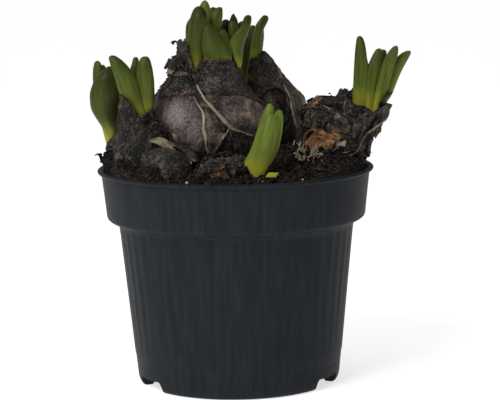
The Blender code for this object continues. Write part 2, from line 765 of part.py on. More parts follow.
def bake(source: bpy.types.Object) -> None:
    """Applies an object's modifiers to its mesh."""
    graph = bpy.context.evaluated_depsgraph_get()
    graph.update()
    mesh = bpy.data.meshes.new_from_object(source.evaluated_get(graph))
    source.modifiers.clear()
    source.data = mesh


def build_shoot(shoot: Shoot, finish: bpy.types.Material) -> None:
    """The stem with its leaves joined to it."""
    stem = add_object(shoot.name, shoot.stem(0.0), finish)
    leaves = bpy.data.collections.new(shoot.name + "_blades")
    bpy.context.scene.collection.children.link(leaves)
    for number, blade in enumerate(shoot.blades):
        leaf = add_object(f"{shoot.name}_blade_{number}", blade.mesh(), finish)
        bpy.context.scene.collection.objects.unlink(leaf)
        leaves.objects.link(leaf)
    step = stem.modifiers.new("join", "BOOLEAN")
    step.operation = "UNION"
    step.operand_type = "COLLECTION"
    step.collection = leaves
    bake(stem)
    for leaf in list(leaves.objects):
        bpy.data.objects.remove(leaf)
    bpy.data.collections.remove(leaves)
    stem.data.set_sharp_from_angle(angle=SHARP_ANGLE)


def build_bulb(bulb: Bulb, finish: bpy.types.Material, soil: bpy.types.Object) -> None:
    """The bulb, pressed by its neighbours, with a hole for each shoot and its hollow in the soil."""
    body = bulb.join(0.0, "")
    body.data.materials.append(finish)
    for other in bulb.behind:
        combine(body, bpy.data.objects[other + "_room"], "DIFFERENCE")
    room = bulb.join(BULB_GAP, "_room")
    room.hide_render = True
    room.display_type = "WIRE"
    combine(soil, room, "DIFFERENCE")
    for shoot in SHOOTS:
        if bulb.name not in shoot.hosts:
            continue
        hole = add_cutter(f"{bulb.name}_{shoot.name}_hole", shoot.stem(GAP))
        combine(body, hole, "DIFFERENCE")
        if shoot.low[2] * MM < SOIL_CROWN_HEIGHT:
            combine(soil, hole, "DIFFERENCE")
    bake(body)
    body.data.shade_smooth()
    body.data.set_sharp_from_angle(angle=SHARP_ANGLE)


def centre_on_floor() -> None:
    """Moves everything sideways together, so that the middle of the whole stands on the origin."""
    shown = [o for o in bpy.data.objects if not o.hide_render]
    points = [v.co for o in shown for v in o.data.vertices]
    middle = [(min(p[i] for p in points) + max(p[i] for p in points)) / 2 for i in (0, 1)]
    for moved in bpy.data.objects:
        moved.location = (-middle[0], -middle[1], 0.0)


def main() -> None:
    """Clears the scene and builds every piece."""
    for leftover in list(bpy.data.objects):
        bpy.data.objects.remove(leftover)
    plastic = material("pot_plastic", (0.022, 0.026, 0.028), 0.42)
    compost = material("compost", (0.018, 0.012, 0.009), 0.95)
    tunic = material("bulb_tunic", (0.075, 0.058, 0.055), 0.6)
    leaf = material("leaf_green", (0.085, 0.125, 0.022), 0.42)
    bud = material("flower_bud", (0.03, 0.018, 0.02), 0.6)

    build_pot(plastic)
    soil = build_soil(compost)
    add_object("flower_bud", flower_bud_mesh(), bud)
    for shoot in SHOOTS:
        build_shoot(shoot, leaf)
    for bulb in BULBS:
        build_bulb(bulb, tunic, soil)
    centre_on_floor()


main()
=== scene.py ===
"""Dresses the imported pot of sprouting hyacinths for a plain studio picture.

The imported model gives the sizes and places, and every node of it is replaced here by a finer piece
with the same outline: the moulded pot, the peat, five bulbs in their torn tunics, and their leaves.

Shapes are written in millimetres from the pot's axis and underside, with +X to the right, +Y to the
back and +Z up. The function in_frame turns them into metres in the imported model's frame.
"""

import logging
import math
import random
from collections.abc import Callable, Iterable, Iterator, Sequence
from contextlib import contextmanager
from dataclasses import dataclass, field
from enum import Enum
from functools import partial

import bpy
from mathutils import Euler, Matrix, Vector, noise


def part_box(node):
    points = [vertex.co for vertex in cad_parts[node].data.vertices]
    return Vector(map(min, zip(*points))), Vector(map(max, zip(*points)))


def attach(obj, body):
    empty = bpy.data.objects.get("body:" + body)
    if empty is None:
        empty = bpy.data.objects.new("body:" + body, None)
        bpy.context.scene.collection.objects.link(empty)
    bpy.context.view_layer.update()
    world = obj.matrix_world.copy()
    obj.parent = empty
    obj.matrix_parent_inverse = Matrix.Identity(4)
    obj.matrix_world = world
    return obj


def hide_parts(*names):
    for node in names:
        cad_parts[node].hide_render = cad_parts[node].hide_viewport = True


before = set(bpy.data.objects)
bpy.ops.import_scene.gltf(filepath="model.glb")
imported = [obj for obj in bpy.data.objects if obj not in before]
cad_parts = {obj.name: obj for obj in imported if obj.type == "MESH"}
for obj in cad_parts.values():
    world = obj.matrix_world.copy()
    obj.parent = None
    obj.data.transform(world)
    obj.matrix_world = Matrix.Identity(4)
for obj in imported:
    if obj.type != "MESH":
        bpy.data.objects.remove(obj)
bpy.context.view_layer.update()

log = logging.getLogger("hyacinth")

MM = 0.001
POT_LOW, POT_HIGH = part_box("pot")
POT_AXIS = (POT_LOW + POT_HIGH) / 2

# Short names for the types that come up often
Piece = bpy.types.Object
Material = bpy.types.Material
Tree = bpy.types.NodeTree
Socket = bpy.types.NodeSocket
Outputs = tuple[Socket, Socket | None]
Pair = tuple[float, float]
Triple = tuple[float, float, float]
Four = tuple[float, float, float, float]
Patch = tuple[float, float, float, float, float]
Knots = Sequence[tuple[float, ...]]
Marked = tuple[Vector, tuple[float, ...]]
Rule = Callable[[float, float], Marked]
Zone = tuple[int, Pair, Pair, int, float]


class Slot(Enum):
    """The record's material slots."""

    POT = "pot_plastic"
    PEAT = "compost"
    TUNIC = "bulb_tunic"
    LEAF = "leaf_green"
    BUD = "flower_bud"


# Numbers and places


def smooth(low: float, high: float, value: float) -> float:
    """A step from 0 to 1.

    Args:
        low: Where the step starts.
        high: Where it ends, above or below low.
        value: The place.

    Returns:
        0 before low, 1 past high, and a soft step between them.
    """
    share = min(1.0, max(0.0, (value - low) / (high - low)))
    return share * share * (3.0 - 2.0 * share)


def mix(start: float, end: float, share: float) -> float:
    """The number that lies at a share of the way from start to end."""
    return start + (end - start) * share


def through(knots: Knots, at: float, column: int = 1) -> float:
    """The value of a soft curve through knots.

    Args:
        knots: Rows of numbers, the first of which rises from row to row.
        at: Where to read the curve, in the first number's terms.
        column: Which number of each row is the value.

    Returns:
        The value there.
    """
    last = len(knots) - 1
    i = max(0, min(last - 1, sum(at > row[0] for row in knots) - 1))
    before, low, high, after = (knots[max(0, min(last, j))] for j in (i - 1, i, i + 1, i + 2))
    width = high[0] - low[0]
    s = (at - low[0]) / width
    low_slope = (high[column] - before[column]) / (high[0] - before[0])
    high_slope = (after[column] - low[column]) / (after[0] - low[0])
    return (
        (2 * s**3 - 3 * s**2 + 1) * low[column]
        + (s**3 - 2 * s**2 + s) * width * low_slope
        + (3 * s**2 - 2 * s**3) * high[column]
        + (s**3 - s**2) * width * high_slope
    )


def place_on(places: Sequence[Sequence[float]], share: float) -> list[float]:
    """The place at a share of the way along some places, on a soft curve through them."""
    knots = [(i / (len(places) - 1), *place) for i, place in enumerate(places)]
    return [through(knots, share, column) for column in range(1, len(knots[0]))]


def in_frame(point: Vector) -> Vector:
    """A place in millimetres from the pot's axis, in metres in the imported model's frame."""
    return Vector((POT_AXIS.x + point.x * MM, POT_AXIS.y + point.y * MM, point.z * MM))


def bumps(place: Vector, size: float, octaves: int = 2) -> float:
    """Soft random bumps, from about -1 to 1, that are size millimetres apart."""
    return noise.fractal(place / size, 1.0, 2.0, octaves)


def ridges(place: Vector, size: float) -> float:
    """Sharp random creases, from 0 on the flats to 1 on a crease."""
    return 1.0 - min(1.0, 2.2 * abs(noise.noise(place / size)))


# Modelling


def deselect() -> None:
    """Leaves nothing selected, so that the next operator acts on its own piece alone."""
    bpy.ops.object.select_all(action="DESELECT")


def choose(piece: Piece) -> None:
    """Selects one piece and makes it the active one."""
    deselect()
    piece.select_set(True)
    bpy.context.view_layer.objects.active = piece


@contextmanager
def editing(piece: Piece) -> Iterator[None]:
    """Keeps a piece in edit mode for a block, at first with all of it selected."""
    choose(piece)
    bpy.ops.object.mode_set(mode="EDIT")
    bpy.ops.mesh.select_all(action="SELECT")
    yield
    bpy.ops.object.mode_set(mode="OBJECT")


def follow(piece: Piece, shares: Callable[[Vector], Pair], rule: Rule, layers: Sequence[str]) -> Piece:
    """Moves every point of a primitive to where a rule puts it.

    Args:
        piece: The primitive.
        shares: Turns a point of the primitive into the rule's two numbers.
        rule: Gives the place in millimetres, and one mark for each layer.
        layers: The names of the attributes that keep the marks.

    Returns:
        The piece.
    """
    mesh = piece.data
    marks = []
    for vert in mesh.vertices:
        point, values = rule(*shares(vert.co))
        vert.co = in_frame(point)
        marks.append(values)
    for number, layer in enumerate(layers):
        attribute = mesh.attributes.new(layer, "FLOAT", "POINT")
        attribute.data.foreach_set("value", [values[number] for values in marks])
    mesh.shade_smooth()
    return piece


def name_span(piece: Piece, across: float, along: float) -> None:
    """Makes the piece's own UV map read in millimetres: across it and along it."""
    span = piece.data.uv_layers[0]
    span.name = "span"
    for corner in span.uv:
        corner.vector = (corner.vector[0] * across, corner.vector[1] * along)


def add_grid(
    name: str, columns: int, rows: int, rule: Rule, layers: Sequence[str] = (), span: Pair = (1, 1)
) -> Piece:
    """An open sheet of faces.

    Args:
        name: The piece's name.
        columns: Faces across.
        rows: Faces along.
        rule: Takes the share across and the share along, from 0 to 1.
        layers: The names of the rule's marks.
        span: The sheet's size across and along in millimetres, for its patterns.

    Returns:
        The sheet.
    """
    deselect()
    bpy.ops.mesh.primitive_grid_add(x_subdivisions=columns, y_subdivisions=rows, size=2.0)
    piece = bpy.context.active_object
    piece.name = name
    name_span(piece, *span)
    return follow(piece, lambda co: ((co.x + 1) / 2, (co.y + 1) / 2), rule, layers)


def add_ball(
    name: str, segments: int, rings: int, rule: Rule, layers: Sequence[str] = (), span: Pair = (1, 1)
) -> Piece:
    """A closed round form.

    Args:
        name: The piece's name.
        segments: Faces round it.
        rings: Faces from its low pole to its high one.
        rule: Takes the angle round in degrees, and the share of the way up.
        layers: The names of the rule's marks.
        span: The form's size round and up in millimetres, for its patterns.

    Returns:
        The form, with its faces outwards.
    """

    def shares(co: Vector) -> Pair:
        """The angle and the share of a point of the round primitive."""
        return math.degrees(math.atan2(co.y, co.x)) % 360, 1 - math.acos(max(-1.0, min(1.0, co.z))) / math.pi

    deselect()
    bpy.ops.mesh.primitive_uv_sphere_add(segments=segments, ring_count=rings, radius=1.0)
    piece = bpy.context.active_object
    piece.name = name
    name_span(piece, *span)
    follow(piece, shares, rule, layers)
    face_outwards(piece)
    return piece


def apply_modifier(piece: Piece, kind: str, **settings: object) -> None:
    """Adds a modifier to a piece and applies it.

    Args:
        piece: The piece.
        kind: The modifier's type.
        **settings: Its properties.
    """
    choose(piece)
    step = piece.modifiers.new(kind.lower(), kind)
    for key, value in settings.items():
        setattr(step, key, value)
    bpy.ops.object.modifier_apply(modifier=step.name)


def face_outwards(piece: Piece) -> None:
    """Merges doubled points and turns all faces outwards."""
    with editing(piece):
        bpy.ops.mesh.remove_doubles(threshold=0.002 * MM)
        bpy.ops.mesh.normals_make_consistent(inside=False)


def join(pieces: Sequence[Piece], name: str) -> Piece:
    """Makes one piece of several, under a new name."""
    deselect()
    for piece in pieces:
        piece.select_set(True)
    bpy.context.view_layer.objects.active = pieces[0]
    bpy.ops.object.join()
    pieces[0].name = name
    return pieces[0]


def repeat(model: Piece, count: int, place: Callable[[int, Vector], Vector]) -> Piece:
    """Makes many copies of a modelled form, all in its own mesh.

    Args:
        model: The form.
        count: How many there are in the end.
        place: Takes a copy's number and a point of the form, and gives where that point goes.

    Returns:
        The form with all its copies.
    """
    size = len(model.data.vertices)
    apply_modifier(model, "ARRAY", count=count, use_relative_offset=False)
    for index, vert in enumerate(model.data.vertices):
        vert.co = place(index // size, vert.co)
    return model


def add_crumbs(
    name: str, places: Sequence[Vector], sizes: Pair, draw: random.Random,
    layers: Sequence[str] = (), marks: Sequence[float] = (),
) -> Piece:
    """Angular crumbs, one at each place.

    Args:
        name: The piece's name.
        places: Where they lie, in millimetres.
        sizes: The smallest and the largest, in millimetres across. Most are small.
        draw: The source of their random shapes.
        layers: The names of their marks.
        marks: The value of each mark.

    Returns:
        One piece that holds them all.
    """
    deselect()
    bpy.ops.mesh.primitive_ico_sphere_add(subdivisions=1, radius=1.0)
    crumbs = bpy.context.active_object
    crumbs.name = name
    name_span(crumbs, 4.0, 4.0)
    shapes = []
    for middle in places:
        size = mix(*sizes, draw.random() ** 2.2) / 2
        stretch = Vector([draw.uniform(0.5, 1.4) for _ in range(3)]) * size
        key = Vector([draw.uniform(0, 90) for _ in range(3)])
        turn = Euler([draw.uniform(0, 6.3) for _ in range(3)]).to_matrix()
        shapes.append((middle + Vector((0, 0, size * 0.3)), stretch, key, turn))

    def place(number: int, co: Vector) -> Vector:
        """A corner of one crumb."""
        middle, stretch, key, turn = shapes[number]
        return in_frame(middle + turn @ (co * stretch) * (1 + 0.45 * noise.noise(co * 1.3 + key)))

    repeat(crumbs, len(places), place)
    for layer, mark in zip(layers, marks):
        attribute = crumbs.data.attributes.new(layer, "FLOAT", "POINT")
        attribute.data.foreach_set("value", [mark] * len(crumbs.data.vertices))
    return crumbs


def hand_over(piece: Piece, slot: Slot, finish: Material, nodes: Iterable[str] = ()) -> None:
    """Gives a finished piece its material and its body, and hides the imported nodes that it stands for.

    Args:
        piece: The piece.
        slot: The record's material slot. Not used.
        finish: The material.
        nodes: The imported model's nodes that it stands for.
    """
    piece.data.materials.clear()
    piece.data.materials.append(finish)
    piece.data.polygons.foreach_set("material_index", [0] * len(piece.data.polygons))
    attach(piece, "root")
    if nodes:
        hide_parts(*nodes)
    log.info("%s: %d faces", piece.name, len(piece.data.polygons))


# Finishes


def linear(code: str) -> Four:
    """A colour given as an sRGB hex code, in Blender's linear terms."""
    parts = [int(code[i : i + 2], 16) / 255 for i in (1, 3, 5)]
    return (*(p / 12.92 if p <= 0.04045 else ((p + 0.055) / 1.055) ** 2.4 for p in parts), 1.0)


def add_node(
    tree: Tree,
    kind: str,
    settings: dict[str, object] | None = None,
    stops: Sequence[tuple[float, str]] = (),
    output: int | str = 0,
    **links: object,
) -> Socket:
    """Adds a node with its settings and links.

    Args:
        tree: The material's nodes.
        kind: The node's type, without the word ShaderNode.
        settings: The node's properties.
        stops: A colour ramp's places and hex codes.
        output: Which of the node's outputs is wanted, by its number or name.
        **links: For each input, named with _ for a space or by n and its number, a value or an output.

    Returns:
        The wanted output.
    """
    node = tree.nodes.new("ShaderNode" + kind)
    for key, value in (settings or {}).items():
        setattr(node, key, value)
    while len(stops) > len(node.color_ramp.elements if stops else ()):
        node.color_ramp.elements.new(0.5)
    for number, (place, code) in enumerate(stops):
        node.color_ramp.elements[number].position = place
        node.color_ramp.elements[number].color = linear(code)
    for key, source in links.items():
        socket = node.inputs[int(key[1:]) if key[1:].isdigit() else key.replace("_", " ")]
        if isinstance(source, Socket):
            tree.links.new(source, socket)
        else:
            socket.default_value = source
    return node.outputs[output] if node.outputs else None


COLOURS = {"data_type": "RGBA"}
TIMES = {"operation": "MULTIPLY"}
TIMES_PLUS = {"operation": "MULTIPLY_ADD"}
TUNIC_MARKS = ("mauve", "ochre", "pale", "soot", "peel")
LEAF_MARKS = ("rise", "edge", "tone", "blush")


@dataclass(frozen=True)
class Finish:
    """A finish: what it is called, how glossy it is, and how its nodes are laid."""

    name: str
    roughness: float
    ior: float = 1.45
    gloss: float = 0.5

    def lay(self, tree: Tree) -> Outputs:
        """Adds the finish's nodes, and returns the outputs of its colour and its relief."""
        raise NotImplementedError

    def material(self) -> Material:
        """The finish as a material."""
        made = bpy.data.materials.new(self.name)
        made.use_nodes = True
        tree = made.node_tree
        shader = tree.nodes["Principled BSDF"]
        shader.inputs["Roughness"].default_value = self.roughness
        shader.inputs["IOR"].default_value = self.ior
        shader.inputs["Specular IOR Level"].default_value = self.gloss
        colour, relief = self.lay(tree)
        tree.links.new(colour, shader.inputs["Base Color"])
        if relief is not None:
            tree.links.new(relief, shader.inputs["Normal"])
        self.tune(shader)
        return made

    def tune(self, shader: bpy.types.Node) -> None:
        """Sets what only some finishes have. Nothing here."""


@dataclass(frozen=True)
class MouldedPolypropylene(Finish):
    """Injection-moulded polypropylene with carbon black and a green tint: a satin skin.

    It has faint upright flow lines and a little dust where it was handled.
    """

    body: str = "#212427"
    pale: str = "#2a2e32"
    dust: str = "#363a3a"
    flow_line: float = 2.2

    def lay(self, tree: Tree) -> Outputs:
        """Flow lines are flow_line millimetres apart, and run up the wall."""
        node = partial(add_node, tree)
        place = node("TexCoord", output="Object")
        upright = node("Mapping", Vector=place, Scale=(1000, 1000, 12))
        flow = node("TexNoise", Vector=upright, Scale=1 / self.flow_line, Detail=3.0)
        colour = node("ValToRGB", stops=[(0.3, self.body), (0.75, self.pale)], n0=flow)
        cloudy = node("TexNoise", Vector=place, Scale=90.0, Detail=6.0, Roughness=0.62)
        dusty = node("MapRange", Value=cloudy, From_Min=0.56, From_Max=0.8, To_Max=0.25)
        colour = node("Mix", COLOURS, output=2, n0=dusty, n6=colour, n7=linear(self.dust))
        grain = node("TexNoise", Vector=place, Scale=2600.0)
        return colour, node("Bump", Strength=0.05, Distance=0.1 * MM, Height=grain)


@dataclass(frozen=True)
class Peat(Finish):
    """Damp milled peat: almost black crumbs with brown fibres. The crumb size is in millimetres."""

    wet: str = "#080707"
    dark: str = "#221e1b"
    fibre: str = "#5b4d40"
    crumb: float = 1.2

    def lay(self, tree: Tree) -> Outputs:
        """Crumbs a millimetre or two wide, with a few brown fibres."""
        node = partial(add_node, tree)
        place = node("TexCoord", output="Object")
        crumbs = node("TexNoise", Vector=place, Scale=1000 / self.crumb, Detail=4.0, Roughness=0.7)
        colour = node("ValToRGB", stops=[(0.38, self.wet), (0.54, self.dark), (0.68, self.fibre)], n0=crumbs)
        return colour, node("Bump", Strength=1.0, Distance=0.8 * MM, Height=crumbs)


@dataclass(frozen=True)
class DryTunic(Finish):
    """The papery skin of a hyacinth bulb: thin dead scales, mauve where they are whole, brown where not.

    The piece's marks say where each look shows: mauve, ochre, pale and soot, which is partly
    the near-black of dead tunic and partly painted shade, in creases, in the open neck and under sheets
    and leaves. The mark peel is 1 where the outer layer is whole and 0 where it has come off, and between
    the two lies its torn edge. Sparse pale flecks on the skin are painted glints off its papery fibres.
    """

    brown: tuple[str, str, str] = ("#100f0e", "#302c29", "#7a7168")
    mauve: tuple[str, str, str, str] = ("#21171f", "#503f48", "#8d7f7e", "#c4bab1")
    ochre: tuple[str, str] = ("#4d3520", "#b07c43")
    pale: tuple[str, str] = ("#6e604f", "#c8b99c")
    soot: str = "#0c0b0b"
    fleck: str = "#9b9488"
    fibre: float = 0.5
    speckle: float = 0.75

    def lay(self, tree: Tree) -> Outputs:
        """Fibres run up the bulb, and speckles lie on the whole skin. Both sizes are in millimetres."""
        node = partial(add_node, tree)
        span = node("UVMap", {"uv_map": "span"})
        place = node("TexCoord", output="Object")
        upright = node("Mapping", Vector=span, Scale=(1 / self.fibre, 1 / (5 * self.fibre), 1))
        fibres = node("TexNoise", Vector=upright, Scale=1.0, Detail=3.0, Roughness=0.6, Distortion=0.8)
        speckles = node("TexNoise", Vector=place, Scale=1000 / self.speckle, Detail=2.0, Roughness=0.6)
        patches = node("TexNoise", Vector=place, Scale=150.0, Detail=4.0, Roughness=0.65)
        flecks = node("TexNoise", Vector=place, Scale=620.0, Detail=1.0, Distortion=1.5)
        clouds = node("Math", TIMES_PLUS, n0=patches, n1=0.4, n2=-0.01)
        both = node("Math", TIMES_PLUS, n0=fibres, n1=0.36, n2=clouds)
        half = node("Math", TIMES_PLUS, n0=speckles, n1=0.27, n2=both)
        colour = node("ValToRGB", stops=list(zip((0.41, 0.51, 0.64), self.brown)), n0=half)
        marks = {mark: node("Attribute", {"attribute_name": mark}, output="Fac") for mark in TUNIC_MARKS}
        bright = node("Math", TIMES_PLUS, n0=speckles, n1=1.3, n2=-0.62)
        depth = node("Math", TIMES_PLUS, n0=marks["mauve"], n1=0.8, n2=bright)
        looks = {
            "mauve": (list(zip((0.1, 0.38, 0.7, 1.0), self.mauve)), depth, 0.3, 0.05, 0.5),
            "ochre": (list(zip((0.4, 0.6), self.ochre)), half, 1.1, 0.25, 0.8),
            "pale": (list(zip((0.38, 0.62), self.pale)), half, 0.8, 0.25, 0.75),
            # The dark look: the tunic's own near-black, and also painted shade in creases, hollows, the open
            # neck and under sheets and leaves.
            "soot": ([(0.0, self.soot), (1.0, self.soot)], half, 0.6, 0.1, 0.95),
        }
        for mark, (stops, along, tear, low, high) in looks.items():
            # Each look stops at a torn line.
            tint = node("ValToRGB", stops=stops, n0=along)
            torn = node("Math", TIMES_PLUS, n0=patches, n1=tear, n2=-tear / 2)
            edged = node("Math", {"operation": "ADD"}, n0=marks[mark], n1=torn)
            share = node("MapRange", Value=edged, From_Min=low, From_Max=high)
            colour = node("Mix", COLOURS, output=2, n0=share, n6=colour, n7=tint)
        bare = node("MapRange", Value=marks["peel"], From_Min=0.7, From_Max=0.2, To_Max=0.4)
        colour = node("Mix", COLOURS, output=2, n0=bare, n6=colour, n7=linear(self.soot))
        near = node("Math", {"operation": "PINGPONG"}, n0=marks["peel"], n1=0.5)
        near = node("MapRange", Value=near, From_Max=0.5, To_Max=0.12)
        # Sparse pale flecks in the fleck colour: painted glints off the papery fibres.
        painted_glints = node("MapRange", Value=flecks, From_Min=0.6, From_Max=0.72, To_Max=0.3)
        for share in (near, painted_glints):
            colour = node("Mix", COLOURS, output=2, n0=share, n6=colour, n7=linear(self.fleck))
        return colour, node("Bump", Strength=1.0, Distance=0.42 * MM, Height=half)


@dataclass(frozen=True)
class FleshyLeaf(Finish):
    """A young hyacinth leaf: thick, waxy and satin, yellow at the foot where no light reached it.

    Veins run along it. The piece's marks are rise, from the soil's yellow to the tip's green, edge, which
    pales the rim, partly as a painted highlight, tone, from -1 for the palest leaf to 1 for the darkest,
    and blush, a purple-brown stain.
    """

    foot: str = "#aeab38"
    middle: str = "#626e23"
    tip: str = "#48531f"
    young: str = "#6f802f"
    dark: str = "#1f260d"
    rim: str = "#7d8c3c"
    stain: str = "#241b12"
    vein: float = 0.7
    rib: float = 2.6

    def lay(self, tree: Tree) -> Outputs:
        """Veins are vein millimetres apart and ribs rib millimetres apart."""
        node = partial(add_node, tree)
        span = node("UVMap", {"uv_map": "span"})
        marks = {mark: node("Attribute", {"attribute_name": mark}, output="Fac") for mark in LEAF_MARKS}
        fine = node("Mapping", Vector=span, Scale=(1 / self.vein, 1 / (18 * self.vein), 1))
        veins = node("TexNoise", Vector=fine, Scale=1.0)
        wide = node("Mapping", Vector=span, Scale=(1 / self.rib, 1 / (9 * self.rib), 1))
        ribs = node("TexNoise", Vector=wide, Scale=1.0)
        greens = [(0.0, self.foot), (0.32, self.middle), (0.9, self.tip)]
        colour = node("ValToRGB", stops=greens, n0=marks["rise"])
        green = node("MapRange", Value=marks["rise"], From_Max=0.36)
        darker = node("Math", TIMES, n0=marks["tone"], n1=green)
        paler = node("Math", TIMES, n0=darker, n1=-1.0)
        ribbed = node("MapRange", Value=ribs, From_Min=0.4, From_Max=0.66, To_Max=0.55)
        ribbed = node("Math", TIMES, n0=ribbed, n1=green)
        veined = node("MapRange", Value=veins, From_Min=0.52, From_Max=0.7, To_Max=0.3)
        # A paler rim along each edge: partly the leaf's thin pale margin, partly a painted highlight along
        # its edges.
        edged = node("MapRange", Value=marks["edge"], From_Min=0.86, From_Max=0.98, To_Max=0.85)
        for share, code in (
            (paler, self.young), (ribbed, self.dark), (veined, self.rim), (darker, self.dark),
            (edged, self.rim), (marks["blush"], self.stain),
        ):
            colour = node("Mix", COLOURS, output=2, n0=share, n6=colour, n7=linear(code))
        return colour, node("Bump", Strength=0.35, Distance=0.15 * MM, Height=veins)

    def tune(self, shader: bpy.types.Node) -> None:
        """Light goes a millimetre or so into the leaf."""
        shader.inputs["Subsurface Weight"].default_value = 0.08
        shader.inputs["Subsurface Radius"].default_value = (0.5, 1.0, 0.2)
        shader.inputs["Subsurface Scale"].default_value = 1.2 * MM


@dataclass(frozen=True)
class Mottled(Finish):
    """A plain natural skin in two mixed colours, such as a bud, a root, bark or perlite."""

    low: str = "#000000"
    high: str = "#ffffff"
    patch: float = 1.0
    relief: float = 0.3

    def lay(self, tree: Tree) -> Outputs:
        """Patches are patch millimetres wide."""
        node = partial(add_node, tree)
        place = node("TexCoord", output="Object")
        patches = node("TexNoise", Vector=place, Scale=1000 / self.patch, Detail=3.0, Roughness=0.6)
        colour = node("ValToRGB", stops=[(0.36, self.low), (0.66, self.high)], n0=patches)
        return colour, node("Bump", Strength=self.relief, Distance=0.3 * MM, Height=patches)


@dataclass(frozen=True)
class LitPaper(Mottled):
    """The white paper that the pot stands on, lit so that it is as white as the picture's ground."""

    glow: float = 0.67

    def tune(self, shader: bpy.types.Node) -> None:
        """The paper glows a little."""
        shader.inputs["Emission Color"].default_value = (1, 1, 1, 1)
        shader.inputs["Emission Strength"].default_value = self.glow


# The pot


@dataclass
class NurseryPot:
    """A 12 cm nursery pot: a tapered fluted body, a plain band under a rolled lip, and a slotted foot."""

    sides: int = 384
    flutes: int = 48
    flute_depth: float = 0.24
    section: list[Pair] = field(
        default_factory=lambda: [
            (1.0, 3.0), (37.6, 3.0), (38.2, 2.6), (38.6, 0.6), (38.9, 0.15), (39.4, 0.0), (41.6, 0.0),
            (42.6, 0.25), (43.4, 0.8), (43.9, 1.7), (44.25, 3.2), (44.55, 6.0), (44.7, 8.2), (44.85, 8.8),
            (44.75, 9.2), (44.95, 9.8), (45.2, 12.6), (45.5, 13.6), (45.9, 17.0), (46.6, 24.0),
            (47.6, 34.0), (48.6, 44.0), (49.6, 54.0), (50.6, 64.0), (51.1, 68.4), (51.4, 69.8),
            (52.2, 70.7), (53.7, 71.4), (55.2, 72.1), (56.0, 72.8), (56.35, 73.8), (56.55, 76.0),
            (57.3, 83.0), (58.2, 91.0), (58.35, 92.1), (58.9, 92.35), (59.6, 92.6), (60.0, 93.1),
            (59.9, 93.6), (59.4, 93.95), (58.6, 94.1), (57.8, 94.0), (57.1, 93.5), (56.75, 92.4),
            (56.4, 89.0), (55.0, 76.4), (54.4, 75.2), (51.0, 73.2), (50.0, 71.4), (43.4, 6.2),
            (42.6, 4.8), (41.6, 4.4), (1.0, 4.4),
        ]
    )
    body_low: float = 13.6
    body_high: float = 69.8
    body_low_radius: float = 45.5
    body_high_radius: float = 51.4
    slot_angles: tuple[float, ...] = (61.0, 119.0, 241.0, 299.0)
    slot_width: float = 18.4
    slot_height: float = 5.2
    slot_corner: float = 3.2
    slot_depth: float = 8.0
    foot_radius: float = 41.5
    drain_radius: float = 3.5
    drain_circle: float = 22.0

    def turn_wall(self) -> Piece:
        """The closed wall, drawn up ring by ring from the middle of the underside to the inner floor."""
        deselect()
        radius, height = self.section[0]
        bpy.ops.mesh.primitive_circle_add(
            vertices=self.sides, radius=radius * MM, fill_type="NOTHING",
            location=in_frame(Vector((0, 0, height))),
        )
        pot = bpy.context.active_object
        pot.name = "fluted_pot"
        with editing(pot):
            bpy.ops.mesh.edge_face_add()
            for next_radius, next_height in self.section[1:]:
                rise = (0, 0, (next_height - height) * MM)
                bpy.ops.mesh.extrude_region_move(TRANSFORM_OT_translate={"value": rise})
                share = next_radius / radius
                bpy.ops.transform.resize(
                    value=(share, share, 1), center_override=in_frame(Vector((0, 0, 0)))
                )
                radius, height = next_radius, next_height
        bpy.ops.object.transform_apply(location=True, rotation=True, scale=True)
        face_outwards(pot)
        return pot

    def press_flutes(self, pot: Piece) -> None:
        """Presses the shallow upright flutes into the outer wall. They fade towards the foot."""
        for vert in pot.data.vertices:
            x, y = vert.co.x - POT_AXIS.x, vert.co.y - POT_AXIS.y
            radius, height = math.hypot(x, y), vert.co.z / MM
            share = (height - self.body_low) / (self.body_high - self.body_low)
            outer = mix(self.body_low_radius, self.body_high_radius, share) * MM
            if not 0 < share < 1 or radius < outer - 0.6 * MM:
                continue
            wave = 0.5 - 0.5 * math.cos(self.flutes * math.atan2(x, -y))
            fade = smooth(self.body_low, self.body_low + 18, height)
            fade *= smooth(self.body_high, self.body_high - 1.5, height)
            depth = self.flute_depth * MM * (0.15 + 0.85 * fade) * wave**0.8
            vert.co.x -= depth * x / radius
            vert.co.y -= depth * y / radius

    def cut(self, pot: Piece, cutter: Piece) -> None:
        """Cuts one shape out of the pot and takes the cutter away."""
        apply_modifier(pot, "BOOLEAN", operation="DIFFERENCE", solver="EXACT", object=cutter)
        bpy.data.objects.remove(cutter)

    def add_slot(self, angle: float) -> Piece:
        """The block that cuts one slot through the foot ring, with its two top corners rounded."""
        turn = math.radians(angle)
        middle = Vector((self.foot_radius * math.sin(turn), -self.foot_radius * math.cos(turn), 0))
        deselect()
        bpy.ops.mesh.primitive_cube_add(size=1, location=in_frame(middle), rotation=(0, 0, turn))
        block = bpy.context.active_object
        block.scale = (self.slot_width * MM, self.slot_depth * MM, 2 * self.slot_height * MM)
        bpy.ops.object.transform_apply(location=True, rotation=True, scale=True)
        bpy.ops.object.mode_set(mode="EDIT")
        bpy.ops.mesh.select_all(action="DESELECT")
        bpy.ops.object.mode_set(mode="OBJECT")
        for edge in block.data.edges:
            ends = [block.data.vertices[i].co for i in edge.vertices]
            short = (ends[0] - ends[1]).length < (self.slot_depth + 1) * MM
            edge.select = min(p.z for p in ends) > 0 and short
        bpy.ops.object.mode_set(mode="EDIT")
        bpy.ops.mesh.select_mode(type="EDGE")
        bpy.ops.mesh.bevel(offset=self.slot_corner * MM, segments=5)
        bpy.ops.mesh.select_mode(type="VERT")
        bpy.ops.object.mode_set(mode="OBJECT")
        return block

    def add_drain(self, place: Vector) -> Piece:
        """The round plug that cuts one drain hole."""
        deselect()
        bpy.ops.mesh.primitive_cylinder_add(
            vertices=28, radius=self.drain_radius * MM, depth=9 * MM, location=in_frame(place)
        )
        plug = bpy.context.active_object
        bpy.ops.object.transform_apply(location=True, rotation=True, scale=True)
        return plug

